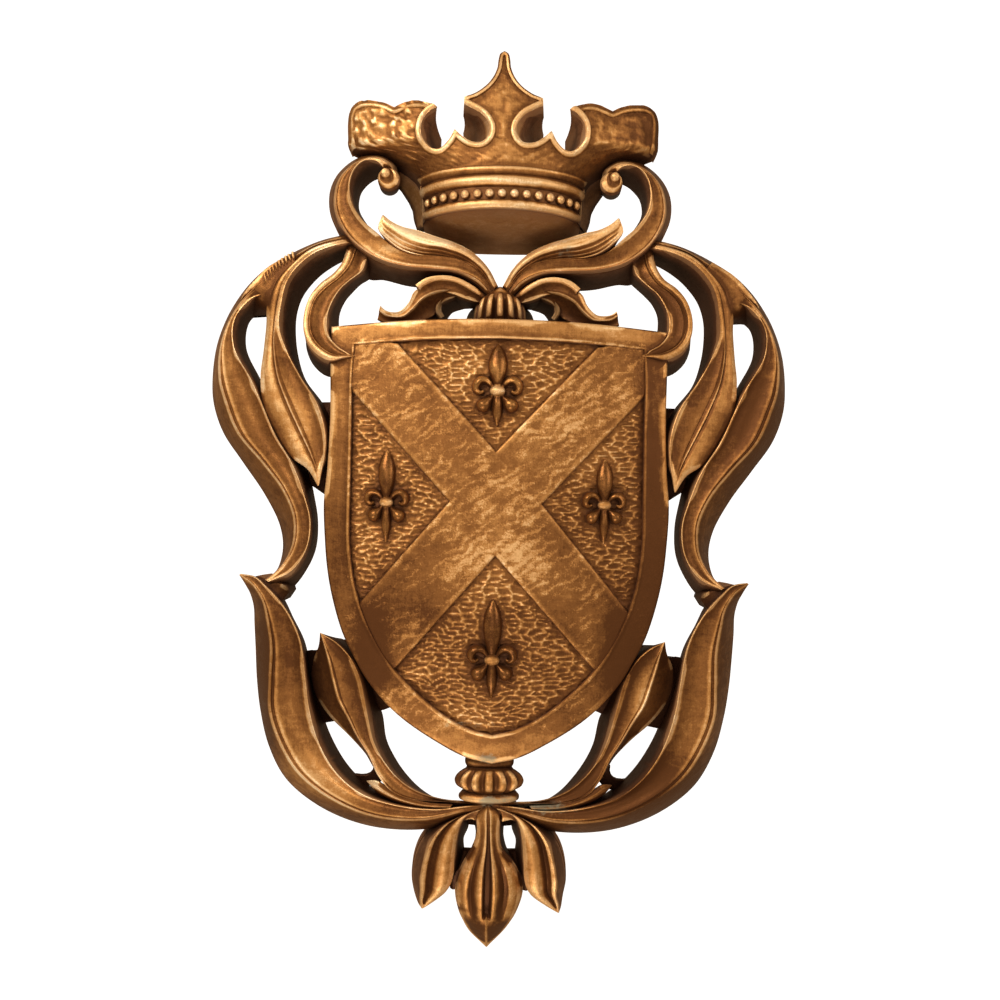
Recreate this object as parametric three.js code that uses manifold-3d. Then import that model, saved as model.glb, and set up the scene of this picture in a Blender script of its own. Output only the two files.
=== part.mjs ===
// Wall coat of arms, cast as one piece: crowned shield with a saltire between
// four lilies, scroll-and-leaf mantling, and a three-leaf pendant below.
// Units are millimetres. +Z is up, the flat back lies in the plane y = 0 and
// the relief rises towards -Y. The origin is on the back, behind the middle
// of the shield.
import * as THREE from 'three';
import { mergeVertices } from 'three/addons/utils/BufferGeometryUtils.js';
import Module from 'manifold-3d';

// ---------------------------------------------------------------- sizes ----
// shield
const SHIELD_EDGE_H = 38;        // height of the face at the sides
const SHIELD_CROWNING = 12;      // how far the middle stands above the sides
const SHIELD_HALF_WIDTH = 117;
const FIELD_DEPTH = 3;           // the four fields lie this far below the border
const BORDER_WIDTH = 15.5;
const SALTIRE_GROOVE = 0.8;      // the saltire lies this far below the border
// crown
const CROWN_LIP_Z = 194;         // lower lip of the crown, all round the front
const CROWN_BACK_DROP = 15;      // the underside falls this far to the back
const CROWN_DEPTH = 57.5;        // height of the crown's front over the wall
const CROWN_SIDE_H = 15;         // height of its side edges over the wall
const BEAD_R = 3.2;
const BEADS_EACH_SIDE = 7;
const BEAD_PITCH = 8.2;
// height over the wall from which the knobs above and below the shield are round
const TOP_KNOB_H = 20;
const LOW_KNOB_H = 30;
// lilies
const LILY_H = 6;
// fineness of the facets
const STEPS_ALONG = 11;          // steps along a leaf or scroll
const SLIVER = 0.1;              // facets thinner than this are merged
const ROUND_STEPS = 10;          // steps round a knob or the crown's front

// ------------------------------------------------------------- outlines ----
// Each leaf, strand and scroll is lofted through stations along its length.
// A station gives the foot of its outer wall, its outer edge, its ridge, its
// inner edge and the foot of its inner wall, as [x, z, height over the wall].
// 'sides: 2' makes the mirrored twin as well,
// which was carved by hand a little differently: 'shift' moves its stations
// by [dx, dz], interpolated from the first station to the last.
const RIBBONS = {
  long_leaf: { sides: 2, panels: ['flank', 'blade'], shift: [[1.5, 0], [1, 0], [0, 0], [1, 0.5], [2, 0.5], [1, 0], [0, 0]], stations: [
    [[-172.3, -67, 0], [-176, -54.7, 36], [-175.5, -54.5, 36.5], [-174.7, -53.9, 37], [-170.9, -65.5, 0]],
    [[-170.9, -71.3, 0], [-173.2, -62.5, 30], [-168.6, -58.7, 36.5], [-164.3, -55.9, 37.5], [-165, -68.4, 0]],
    [[-173.7, -70.4, 0], [-172.6, -69.8, 20], [-163.7, -63.8, 37], [-157.3, -61.7, 38], [-157, -70.6, 0]],
    [[-172.7, -80.3, 0], [-172, -79.9, 13], [-158.6, -72.8, 37], [-150.4, -68.5, 38], [-152.7, -75.7, 0]],
    [[-172.3, -91.8, 0], [-171.6, -91.5, 12], [-155.5, -85.1, 37], [-141.2, -80.2, 38], [-146.5, -88.1, 0]],
    [[-171.2, -108.8, 0], [-170.5, -108.6, 12], [-152.7, -103, 37], [-132.6, -98.7, 38], [-137.7, -105.6, 0]],
    [[-169.8, -131.6, 0], [-169.1, -131.5, 12], [-153.2, -126.3, 37], [-128.5, -125.4, 38], [-131.6, -132.5, 0]],
    [[-166.9, -153.7, 0], [-166.2, -153.6, 12], [-153.1, -146.9, 37], [-125.7, -145.3, 38], [-125.7, -152.2, 0]],
    [[-160.5, -178.8, 0], [-159.8, -178.6, 12], [-145.9, -168.2, 37], [-118.9, -167.9, 38], [-117, -174.7, 0]],
    [[-147.6, -202.4, 0], [-146.9, -202.2, 12], [-133, -189.4, 36], [-106.6, -188.4, 38], [-105.3, -194, 0]],
    [[-121.8, -222.6, 0], [-121.2, -222.2, 12], [-110.4, -206.6, 36], [-89.6, -202.8, 37], [-91.5, -207.5, 0]],
    [[-88.8, -234.9, 0], [-88.3, -234.4, 12], [-81.6, -218.6, 35], [-66.5, -211.1, 35], [-70.4, -219.1, 0]],
    [[-52.1, -236.8, 0], [-51.7, -236.1, 14], [-48, -221.1, 34], [-39.1, -214.5, 33], [-41.3, -222.8, 0]],
    [[-20.5, -229.1, 0], [-20.2, -227.9, 20], [-18.3, -215.2, 33], [-15.6, -211.8, 33], [-16.5, -223.5, 0]],
    [[-2, -230, 0], [1, -217.3, 26], [1.4, -212.6, 32.5], [1.4, -210.5, 32.5], [-2, -223.5, 0]],
  ] },
  short_leaf: { sides: 2, panels: ['hollow', 'face'], shift: [[2, -2], [1, 0], [2, 0], [3.5, 0], [3, 0], [0.5, 0], [0, 0]], stations: [
    [[-119.2, -110.7, 0], [-119.3, -92.9, 38], [-119, -93.2, 38], [-118.5, -93.5, 38], [-115.5, -102.6, 0]],
    [[-120.6, -117.2, 0], [-122.5, -104.6, 27], [-115.9, -104.6, 35.5], [-107.9, -99.7, 38], [-109.7, -103.4, 0]],
    [[-128.3, -115.6, 0], [-127, -115.3, 22], [-113.2, -113.5, 35.5], [-98.5, -108.8, 39], [-96.6, -116.5, 0]],
    [[-129.3, -129.3, 0], [-128.1, -129.1, 20], [-110, -125.8, 36], [-91.3, -123.1, 39], [-89.3, -131, 0]],
    [[-125.1, -142.3, 0], [-123.9, -142.2, 20], [-105.7, -139.3, 37], [-87.6, -138.2, 39], [-85, -145.6, 0]],
    [[-115.8, -155.1, 0], [-114.5, -155, 21], [-99.2, -151.3, 37], [-84.6, -153.5, 38], [-80.2, -157.2, 0]],
    [[-102.2, -167.3, 0], [-100.8, -167.3, 23], [-92.8, -164.3, 36], [-81, -167.8, 37], [-77, -175.4, 0]],
    [[-90.1, -179.5, 0], [-88.6, -179.5, 25], [-84.4, -178, 35], [-75.3, -179.1, 36], [-71.1, -187.8, 0]],
    [[-84.5, -187.7, 0], [-83, -188, 26], [-78.3, -191.7, 34], [-65.1, -192.1, 35], [-62.4, -200.2, 0]],
    [[-70.4, -213.3, 0], [-72.9, -200.2, 27], [-68, -202.9, 33.5], [-52, -201.2, 34.5], [-50.7, -211.5, 0]],
    [[-54.4, -220.6, 0], [-57.5, -208.9, 28], [-52.9, -208, 33], [-34.8, -206.9, 34], [-36.9, -218.8, 0]],
    [[-28.9, -224.2, 0], [-27.6, -213.1, 28], [-25.9, -209.3, 33], [-18.3, -208.6, 33], [-19.4, -219.9, 0]],
    [[-2, -227.1, 0], [1, -215.2, 26], [1.4, -211.2, 32.5], [1.4, -209.5, 32.5], [-2, -222.8, 0]],
  ] },
  leaf_spur: { sides: 2, panels: ['flank', 'face'], shift: [[3, 0], [2, 0], [0, 0]], stations: [
    [[-83.5, -212.2, 0], [-86.8, -196.5, 30], [-86.5, -196.3, 30.5], [-86.3, -196.5, 30], [-82.8, -211.1, 0]],
    [[-80.6, -216.9, 0], [-83.1, -201.7, 29], [-81.1, -198.1, 33.5], [-79.4, -196.2, 31], [-79.9, -214.4, 0]],
    [[-74, -221.7, 0], [-76.9, -206.7, 29], [-74.1, -202.3, 34.5], [-72, -200, 32], [-72.6, -218.4, 0]],
    [[-63.1, -225, 0], [-65.7, -211.7, 29], [-63.5, -207.6, 34], [-60.9, -205.5, 32], [-61.7, -221.3, 0]],
    [[-47.8, -227.1, 0], [-49.8, -215.2, 29], [-48, -211.6, 33.5], [-45.3, -210, 32], [-46.4, -222.8, 0]],
    [[-28.2, -227.9, 0], [-28.9, -215.9, 29], [-28, -212.8, 33], [-26.7, -211.4, 32], [-27.4, -223.5, 0]],
  ] },
  outer_strand: { sides: 2, panels: ['flank', 'blade'], shift: [[0, 0]], stations: [
    [[-101.5, 185.4, 0], [-100.7, 183.9, 28], [-99.7, 181.9, 30], [-99, 180.5, 30], [-98.2, 178.9, 0]],
    [[-110.4, 183.7, 0], [-110.1, 181.9, 30], [-109, 178.7, 36], [-109, 176.3, 36], [-108.6, 174.2, 0]],
    [[-128.1, 181, 0], [-128.4, 179.7, 22], [-127.2, 173.2, 36], [-130.5, 170.1, 35], [-130.9, 168, 0]],
    [[-149.9, 172.7, 0], [-149.3, 171.9, 17], [-144, 163.6, 36], [-140.8, 159.1, 35], [-139.6, 157.4, 0]],
    [[-167, 163.3, 0], [-166.4, 162.7, 14], [-157.8, 153.3, 36], [-151.2, 147.4, 35], [-149.7, 145.9, 0]],
    [[-178.7, 152.7, 0], [-178.1, 152.3, 13], [-168.1, 143.7, 36], [-160.1, 140.1, 35], [-158.4, 138.9, 0]],
    [[-187.3, 141.5, 0], [-186.6, 141.2, 13], [-176.5, 134.9, 35.5], [-171.1, 135.7, 35], [-169.1, 135, 0]],
    [[-196.2, 126, 0], [-195.5, 125.8, 12], [-185.6, 121.2, 35], [-182.5, 121.2, 35], [-181.8, 126.7, 0]],
    [[-203, 105.8, 0], [-202.3, 105.7, 12], [-191.8, 101.9, 35], [-182.2, 101.7, 36], [-184.3, 107.7, 0]],
    [[-205.5, 83.7, 0], [-204.8, 83.6, 12], [-191.8, 80.4, 36], [-170.5, 80.4, 36], [-174.5, 86.6, 0]],
    [[-204.4, 65.7, 0], [-203.7, 65.7, 12], [-187.7, 65.3, 36], [-163.6, 65.4, 35], [-161.5, 65.4, 0]],
    [[-197.3, 45, 0], [-196.6, 45, 12], [-178.4, 43.3, 36], [-153.2, 42, 35], [-151.1, 41.9, 0]],
    [[-182.6, 23.6, 0], [-181.9, 23.6, 12], [-160.9, 23, 36], [-140.6, 22, 36], [-138.4, 21.9, 0]],
    [[-166.9, 1.4, 0], [-166.2, 1.4, 12], [-146.5, 4.8, 37], [-131.9, 1.4, 38], [-132.6, 0, 0]],
    [[-155.5, -20.8, 0], [-154.8, -20.7, 12], [-138.4, -13.7, 38], [-126.9, -17.1, 39], [-129.6, -18.9, 0]],
    [[-150.5, -45.1, 0], [-152, -37.1, 13], [-138.8, -32.9, 38], [-129.1, -35.9, 40], [-131.2, -39.3, 0]],
    [[-154.8, -58.2, 0], [-154.6, -51.7, 17], [-146, -47.3, 38], [-139.2, -51, 39], [-140.3, -58.2, 0]],
    [[-162.1, -66.2, 0], [-159, -57.8, 34], [-157.4, -58.1, 36], [-155.7, -59.1, 36], [-153, -73.5, 0]],
  ] },
  inner_strand: { sides: 2, panels: ['roll', 'face'], shift: [[0, 0]], stations: [
    [[-99.9, 181.7, 0], [-99.1, 180.1, 29], [-98.3, 178.4, 30], [-97.6, 177, 30], [-96.8, 175.4, 0]],
    [[-107.7, 179.6, 0], [-107.6, 177.4, 36], [-107.4, 175.7, 37], [-107.4, 174.3, 37], [-110.4, 173.3, 0]],
    [[-132.2, 171.1, 0], [-130.1, 170.2, 37], [-127.8, 169, 38], [-126, 168.5, 37], [-127.9, 163.4, 0]],
    [[-145.4, 160.5, 0], [-143.2, 160.1, 36.5], [-140.1, 159.7, 38], [-138.3, 159.2, 37], [-138.8, 152.5, 0]],
    [[-155.8, 148.8, 0], [-153.7, 148.5, 36], [-148.4, 148, 38], [-146.5, 147.6, 37], [-144.3, 143.8, 0]],
    [[-162.4, 136.4, 0], [-160.4, 135.9, 34], [-151.9, 133.7, 37.5], [-150, 133.5, 37], [-147.6, 133.2, 0]],
    [[-163.5, 117.5, 0], [-161.5, 117.4, 33], [-154.4, 116.7, 37], [-151.5, 116.8, 36.5], [-148.4, 120.8, 0]],
    [[-165.1, 99.2, 0], [-163.1, 99.5, 33], [-154.7, 101.7, 36.5], [-147, 101.9, 35], [-146.5, 103.4, 0]],
    [[-166.8, 82.8, 0], [-164.8, 82.9, 33], [-151.5, 82.4, 36.5], [-137.2, 83.9, 36], [-140.7, 85.2, 0]],
    [[-164.7, 62.9, 0], [-162.7, 62.9, 33], [-143.6, 62.5, 36.5], [-123.7, 63, 38], [-127.2, 67, 0]],
    [[-157.3, 45.8, 0], [-155.4, 45.7, 32], [-135.3, 45.3, 36.5], [-118, 43.8, 39], [-115.7, 43.7, 0]],
    [[-143.8, 26.5, 0], [-141.8, 26.6, 34], [-127.6, 29.5, 37.5], [-118, 28, 39], [-115.7, 28.1, 0]],
    [[-135.2, 20.4, 0], [-130.3, 18.6, 36], [-124, 19.5, 38], [-119.9, 18.5, 39], [-125.7, 18.9, 0]],
    [[-134.5, 16.7, 0], [-122.9, 7.2, 37], [-122.5, 7.7, 38], [-122, 7.5, 38], [-127.2, 16, 0]],
  ] },
  corner_scroll: { sides: 2, panels: ['rib', 'face'], shift: [[2, 2], [2.6, 0], [2.5, 1.5], [2.2, 3.5], [1, 5], [1, 3.5]], stations: [
    [[-108.3, 178.1, 0], [-106.8, 177.3, 29], [-100.3, 174.3, 30], [-92, 169.4, 30], [-93, 160.9, 0]],
    [[-111.4, 164.1, 0], [-109.7, 163.3, 32], [-104.6, 160.5, 33.5], [-95.7, 156.8, 33], [-96.6, 158, 0]],
    [[-117.4, 155.3, 0], [-115.5, 154.5, 34], [-111.2, 151.5, 35], [-103.6, 149.4, 35], [-101.7, 154.8, 0]],
    [[-126.2, 147.3, 0], [-124.1, 146.8, 36], [-119.9, 143.9, 36.5], [-109.7, 143.3, 36], [-107.9, 148.5, 0]],
    [[-133.2, 136.9, 0], [-130.9, 136.7, 38], [-126.8, 135, 38], [-114.4, 135, 38], [-113, 142, 0]],
    [[-136.7, 123, 0], [-134.4, 123.1, 39], [-130, 122.8, 39], [-118, 123.8, 39], [-117, 131, 0]],
    [[-141, 112.8, 0], [-133, 109.8, 41], [-128.2, 111.1, 41], [-117, 111.2, 40.5], [-114.6, 111.4, 0]],
    [[-137, 98.3, 0], [-126.6, 99, 42], [-122.1, 102.4, 42.5], [-110.6, 103.1, 42], [-108.2, 103.7, 0]],
    [[-127.2, 88.5, 0], [-115.2, 92.6, 43], [-112.1, 96.8, 43], [-103.6, 98.5, 43], [-101.3, 99.7, 0]],
    [[-117.7, 86.6, 0], [-105.7, 94.5, 43], [-104.3, 96, 43], [-101.2, 97, 43], [-98.9, 98.3, 0]],
    [[-110.4, 87.4, 0], [-98.7, 96, 42], [-98.4, 96.3, 42], [-98.4, 96.7, 42], [-96.2, 97.9, 0]],
  ] },
  crest_scroll: { sides: 2, panels: ['edge', 'crestface'], shift: [[0, 0], [0, 0], [0, -0.5], [2, -0.5], [3.2, -1], [3, -1], [3.5, 0], [4, 0]], stations: [
    [[-8.5, 137.3, 0], [-7.3, 138.9, 33], [-5.8, 140, 37], [-3.8, 143.5, 37], [-2.5, 145.3, 0]],
    [[-18.5, 146.6, 0], [-16.9, 147.9, 34], [-14.7, 149.5, 39], [-9.2, 154.3, 39], [-7.4, 155.8, 0]],
    [[-32.2, 153.1, 0], [-30.7, 154.5, 34], [-29, 155.6, 40.5], [-22.2, 162.2, 40], [-20.4, 163.8, 0]],
    [[-50, 152.9, 0], [-49.3, 156.6, 34], [-48.1, 157.2, 41], [-39.9, 166, 40], [-38.2, 167.7, 0]],
    [[-67.5, 154.3, 0], [-68.1, 157.9, 33], [-66.5, 158.7, 41], [-57.6, 166, 41], [-55.7, 167.5, 0]],
    [[-85, 158.3, 0], [-86.2, 163.3, 32], [-83.5, 163.3, 41], [-72.6, 171.1, 41], [-70.5, 172.3, 0]],
    [[-96.6, 159.1, 0], [-102.1, 173.8, 28], [-98.2, 172.2, 41], [-85.4, 181.1, 42], [-83.1, 182.1, 0]],
    [[-116.2, 186.7, 0], [-115.1, 186.8, 18], [-107.4, 182.4, 41], [-94.9, 189.2, 42], [-98.4, 199.5, 0]],
    [[-123.7, 203.7, 0], [-123, 203.6, 12], [-113.3, 195.9, 40.5], [-101.8, 199.5, 42], [-103.9, 209.7, 0]],
    [[-124.1, 218.2, 0], [-123.4, 217.9, 12], [-113.7, 208, 40], [-104, 209.7, 42], [-102.8, 220.6, 0]],
    [[-119.9, 228.7, 0], [-119.2, 228.3, 13], [-110.9, 217, 40.5], [-102.8, 219.2, 42], [-98.8, 226.4, 0]],
    [[-112.4, 235.8, 0], [-111.6, 235.2, 16], [-105, 224.3, 41], [-98.9, 225.8, 42.5], [-95.2, 229.5, 0]],
    [[-102.5, 239.8, 0], [-101.7, 238.8, 22], [-97.3, 229.1, 42], [-93.8, 229.2, 43], [-91.5, 231.5, 0]],
    [[-91.4, 240.1, 0], [-90.9, 238.5, 28], [-88.6, 230.5, 43.5], [-88.2, 229.3, 44], [-88.6, 232.2, 0]],
    [[-80.7, 237.1, 0], [-81.2, 235.2, 33], [-80.9, 228.6, 45], [-83.6, 226.9, 45], [-85, 233, 0]],
    [[-75.5, 237.3, 0], [-73.3, 228.3, 35], [-75.2, 224.3, 42], [-80.8, 223, 41], [-82.8, 233, 0]],
    [[-76.2, 233, 0], [-72.5, 222.1, 36], [-76.5, 219.6, 40], [-83.8, 218.9, 39], [-82.8, 232.2, 0]],
    [[-77.7, 230.8, 0], [-73, 218.7, 32], [-76.4, 218, 33], [-83.4, 218, 32], [-82, 230.8, 0]],
  ] },
  crest_leaf: { sides: 2, panels: ['flutes', 'roll'], shift: [[0, 0], [0, 0], [1, 0], [1, 0.7]], stations: [
    [[-6.6, 141.1, 0], [-5.2, 142.8, 37], [-3.8, 145, 39], [-1.7, 147.1, 36], [-0.3, 148.8, 0]],
    [[-15.6, 151.9, 0], [-14, 153.5, 38], [-10.6, 157.2, 41], [-8.6, 159, 38], [-7, 160.6, 0]],
    [[-28.6, 159.9, 0], [-27, 161.6, 38.5], [-22.7, 166.8, 43], [-19.5, 169.3, 39], [-17.9, 171, 0]],
    [[-43.6, 163.7, 0], [-42, 165.4, 39.5], [-37, 172, 44], [-32.4, 175.5, 40], [-30.7, 177.2, 0]],
    [[-57.8, 164, 0], [-56.2, 165.9, 41.5], [-51.2, 174.7, 44], [-44.7, 179.3, 40], [-43.1, 181.1, 0]],
    [[-69.1, 166.8, 0], [-67.6, 168.9, 43], [-62.7, 178.6, 44.5], [-57.6, 183.1, 41], [-56.2, 185.1, 0]],
    [[-79.3, 173.7, 0], [-77.3, 175.4, 44], [-71.4, 182.6, 45], [-66.9, 184.5, 43], [-65, 186.2, 0]],
    [[-80.6, 192.2, 0], [-83.8, 182.9, 44], [-78.9, 187.3, 45], [-74.9, 187.9, 44], [-72.6, 189.2, 0]],
    [[-79.1, 196.6, 0], [-81.2, 191.3, 44], [-80.6, 191.7, 44.5], [-80, 191.8, 44], [-76.2, 196.6, 0]],
  ] },
  wing_top: { sides: 2, panels: ['roll', 'hollow'], shift: [[0, 0], [2, 0], [3, 0], [3.3, -0.5]], stations: [
    [[-7.7, 141.9, 0], [-8.7, 140.2, 33], [-10, 137.9, 34], [-11.4, 135.6, 32], [-12.2, 139, 0]],
    [[-17.1, 148.6, 0], [-18.2, 146.7, 36.5], [-19.6, 143.8, 37], [-23.2, 138.4, 32], [-22.4, 138.7, 0]],
    [[-30.4, 154.6, 0], [-31.2, 152.5, 38], [-31.9, 149.4, 38], [-34.9, 142.4, 32.5], [-31.8, 137.6, 0]],
    [[-42.9, 155.3, 0], [-42.8, 153, 39], [-42.8, 149.9, 38.5], [-42.5, 142.3, 33], [-37.6, 134, 0]],
    [[-52.9, 152.9, 0], [-52, 150.7, 39], [-50.3, 147.2, 38.5], [-48, 140.7, 34], [-47.2, 138.8, 0]],
    [[-59.6, 148.4, 0], [-58.2, 146.6, 38], [-55.8, 143.9, 38], [-52, 138.4, 35], [-50.7, 136.7, 0]],
  ] },
  wing_tip: { sides: 2, panels: ['face', 'hollow'], shift: [[3, 0], [3, 0], [2.5, 0], [2, -1]], stations: [
    [[-31.2, 150.1, 0], [-30.9, 148.3, 31], [-30.8, 145.3, 32], [-29.6, 141.2, 29], [-25.3, 138.7, 0]],
    [[-46.8, 149.3, 0], [-45.8, 147.4, 35], [-44.4, 142.3, 36], [-40.1, 136.5, 28], [-34.7, 135.4, 0]],
    [[-60.2, 144.5, 0], [-58.7, 142.9, 36.5], [-53.9, 137.3, 37], [-45.7, 128.4, 27], [-39.1, 130.3, 0]],
    [[-64.2, 136.2, 0], [-62.8, 134.5, 37], [-60, 130.3, 37.5], [-53.9, 123.8, 29], [-48.6, 126.7, 0]],
    [[-70.5, 130.1, 0], [-69, 128.4, 37], [-66.9, 124.9, 37], [-62.6, 121.1, 32], [-61.3, 119.7, 0]],
    [[-74, 128.1, 0], [-75.1, 127.7, 37.5], [-74.4, 124.5, 37.5], [-72.1, 120.7, 34], [-71.3, 118.8, 0]],
    [[-76.2, 128.1, 0], [-79.1, 129, 38], [-78.8, 125.7, 38], [-78.9, 120.5, 35], [-77.7, 123.8, 0]],
    [[-77, 128.1, 0], [-82, 131.6, 38.5], [-82.9, 128.8, 38], [-84.2, 122.4, 36], [-79.1, 123.8, 0]],
  ] },
  wing_hook: { sides: 2, panels: ['rib', 'flat'], shift: [[3, 0], [3, 0]], stations: [
    [[-43.7, 140.1, 0], [-42.2, 139.5, 27], [-41, 138.5, 30], [-39.5, 138.5, 27], [-38, 137.9, 0]],
    [[-47, 135.5, 0], [-45.4, 135.3, 27], [-43.4, 134.2, 30.5], [-40.9, 134.6, 27], [-39.3, 134.4, 0]],
    [[-47, 130.3, 0], [-45.4, 130.5, 27], [-43.4, 129.7, 30.5], [-40.9, 131.2, 27], [-39.3, 131.4, 0]],
    [[-43.6, 124.7, 0], [-42.2, 125.6, 27], [-40.7, 125.8, 29.5], [-38.8, 127.7, 27], [-37.4, 128.6, 0]],
  ] },
  eye_web: { sides: 2, panels: ['flat', 'flat'], shift: [[0, 0]], stations: [
    [[-147.2, 168.4, 0], [-145.9, 166.9, 34], [-143.4, 163.6, 36], [-140.5, 160.7, 36.5], [-139.1, 159, 0]],
    [[-162.8, 158.5, 0], [-161.4, 156.9, 35.5], [-157, 151.9, 36.3], [-151.5, 145.6, 36.5], [-150.1, 144, 0]],
    [[-172.1, 148.4, 0], [-170.3, 147.2, 35.5], [-164.7, 143.7, 36], [-157.1, 138.2, 36], [-155.3, 137, 0]],
    [[-177.9, 141.3, 0], [-176, 140.5, 35], [-169.3, 138.6, 34], [-158.7, 132.9, 35], [-156.8, 132.1, 0]],
    [[-182.2, 134.7, 0], [-180.3, 134.2, 32], [-173.8, 134.5, 23], [-161.4, 129.1, 30], [-159.7, 128.6, 0]],
    [[-182.5, 130.3, 0], [-184.1, 128.3, 24], [-177.1, 130.8, 10], [-164.6, 128.1, 18], [-169.4, 132.1, 0]],
  ] },
  fill_leaves: { sides: 2, panels: ['flat', 'flat'], shift: [[0, 0]], stations: [
    [[-137.6, -112.3, 0], [-137.6, -112.3, 9], [-130, -109.6, 11], [-122.2, -110.8, 14], [-122.2, -110.8, 0]],
    [[-137.6, -120.6, 0], [-137.6, -120.6, 9], [-131.2, -120.8, 12], [-122.6, -119.3, 16], [-122.6, -119.3, 0]],
    [[-136.6, -138.3, 0], [-136.6, -138.3, 7], [-130.4, -139.3, 9], [-118.9, -137, 13], [-118.9, -137, 0]],
    [[-134.1, -153.1, 0], [-134.1, -153.1, 5], [-126, -155.8, 6], [-111.2, -152.4, 8], [-111.2, -152.4, 0]],
    [[-131.4, -160.6, 0], [-131.4, -160.6, 4], [-121.3, -163.5, 4], [-106.1, -160.6, 4], [-106.1, -160.6, 0]],
  ] },
  fill_spur: { sides: 2, panels: ['flat', 'flat'], shift: [[0, 0]], stations: [
    [[-99, -200.6, 0], [-99, -200.6, 3.5], [-96.2, -204.3, 3], [-93.2, -208.5, 3.5], [-93.2, -208.5, 0]],
    [[-92.4, -201, 0], [-92.4, -201, 4], [-90.2, -204, 4], [-86.6, -208.4, 4], [-86.6, -208.4, 0]],
    [[-88, -199.3, 0], [-88, -199.3, 4], [-85.1, -201.9, 4], [-80.1, -205.5, 4], [-80.1, -205.5, 0]],
    [[-85.7, -195.7, 0], [-85.7, -195.7, 4], [-83, -197.5, 4], [-77.2, -199.7, 4], [-77.2, -199.7, 0]],
    [[-85.9, -191.2, 0], [-85.9, -191.2, 3.5], [-83.1, -192.8, 3], [-78.7, -194, 3.5], [-78.7, -194, 0]],
  ] },
  tip_web: { sides: 2, panels: ['flat', 'flat'], shift: [[0, 0]], stations: [
    [[-168.4, -57.3, 0], [-168.4, -57.3, 30], [-165.5, -55.7, 30.5], [-162.8, -56.4, 30], [-162.8, -56.4, 0]],
    [[-162.6, -61.3, 0], [-162.6, -61.3, 31], [-159, -57.8, 30], [-155, -58.9, 28], [-155, -58.9, 0]],
    [[-155.6, -66.2, 0], [-155.6, -66.2, 31], [-151.3, -62.6, 29], [-146.9, -62.1, 27], [-146.9, -62.1, 0]],
    [[-148.7, -73.8, 0], [-148.7, -73.8, 28], [-146.6, -70.5, 24], [-144.6, -67.5, 22], [-144.6, -67.5, 0]],
  ] },
  fill_shield_low: { sides: 2, panels: ['flat', 'flat'], shift: [[0, 0]], stations: [
    [[-118.5, -103.5, 0], [-118.5, -103.5, 3.5], [-112.8, -104, 3], [-104.8, -103.5, 3.5], [-104.8, -103.5, 0]],
    [[-106, -115.7, 0], [-106, -115.7, 4.5], [-98.8, -117.1, 4.5], [-91.6, -115.7, 4.5], [-91.6, -115.7, 0]],
    [[-97.4, -131.6, 0], [-97.4, -131.6, 4.5], [-88.7, -133, 4.5], [-78.6, -130.1, 4.5], [-78.6, -130.1, 0]],
    [[-91.6, -144.6, 0], [-91.6, -144.6, 4.5], [-82.9, -146, 4.5], [-69.9, -143.1, 4.5], [-69.9, -143.1, 0]],
    [[-85.9, -154.9, 0], [-85.9, -154.9, 3.5], [-78.8, -153.6, 3], [-68.6, -149.2, 3.5], [-68.6, -149.2, 0]],
  ] },
  fill_shield_mid: { sides: 2, panels: ['flat', 'flat'], shift: [[0, 0]], stations: [
    [[-129.4, 68.8, 0], [-129.4, 68.8, 3.5], [-124, 64.5, 3], [-116.3, 68.8, 3.5], [-116.3, 68.8, 0]],
    [[-132.1, 50.6, 0], [-132.1, 50.6, 4.5], [-124.8, 49.2, 4.5], [-116.2, 50.6, 4.5], [-116.2, 50.6, 0]],
    [[-132.1, 28.9, 0], [-132.1, 28.9, 4.5], [-124.8, 27.5, 4.5], [-116.2, 28.9, 4.5], [-116.2, 28.9, 0]],
    [[-137.9, 15.9, 0], [-137.9, 15.9, 4.5], [-129.2, 13, 4.5], [-117.6, 14.5, 4.5], [-117.6, 14.5, 0]],
    [[-135.9, 8.7, 0], [-135.9, 8.7, 3.5], [-130.9, 6.5, 3], [-122.1, 0, 3.5], [-122.1, 0, 0]],
  ] },
  drop_leaf_side: { sides: 2, panels: ['flank', 'drop'], shift: [[0, 0], [1, 0], [1.3, -1], [1.5, -1], [-2, -1.3]], stations: [
    [[-9.2, -213.5, 0], [-7.3, -213.5, 31], [-5.2, -212.8, 33], [-3.8, -213.5, 33], [-1.8, -213.5, 0]],
    [[-26.8, -224.5, 0], [-25.7, -223.8, 22], [-21.1, -219, 33.5], [-15.6, -218, 33], [-13.9, -217, 0]],
    [[-40.4, -232.5, 0], [-39.6, -232.2, 15], [-31.5, -225.2, 33], [-20.8, -225.6, 32], [-16.2, -238.1, 0]],
    [[-50.5, -243.8, 0], [-49.8, -243.6, 12], [-40.1, -235.4, 33.5], [-23.2, -235.3, 32], [-19.4, -246.1, 0]],
    [[-55.5, -257.4, 0], [-54.8, -257.2, 12], [-44.8, -248.8, 34.5], [-24.6, -249.1, 32], [-19.1, -254.8, 0]],
    [[-56.5, -270.3, 0], [-55.8, -270.1, 12], [-46.9, -261.2, 34.5], [-25.6, -262.3, 32], [-22.4, -267.9, 0]],
    [[-54.7, -279.4, 0], [-53.9, -279.2, 14], [-47, -271.5, 33], [-29.5, -271.7, 31], [-27.7, -271.2, 0]],
    [[-47.1, -290.5, 0], [-50.5, -285, 20], [-47.2, -278.6, 31], [-38.6, -279.8, 30], [-38.4, -289, 0]],
    [[-44.2, -291.9, 0], [-46.7, -285.8, 28], [-46.3, -284.8, 29], [-45.6, -284.8, 29], [-42.7, -291.9, 0]],
  ] },
  drop_leaf_mid: { sides: 1, panels: ['midleaf', 'midleafR'], shift: [[0, 0]], stations: [
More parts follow.
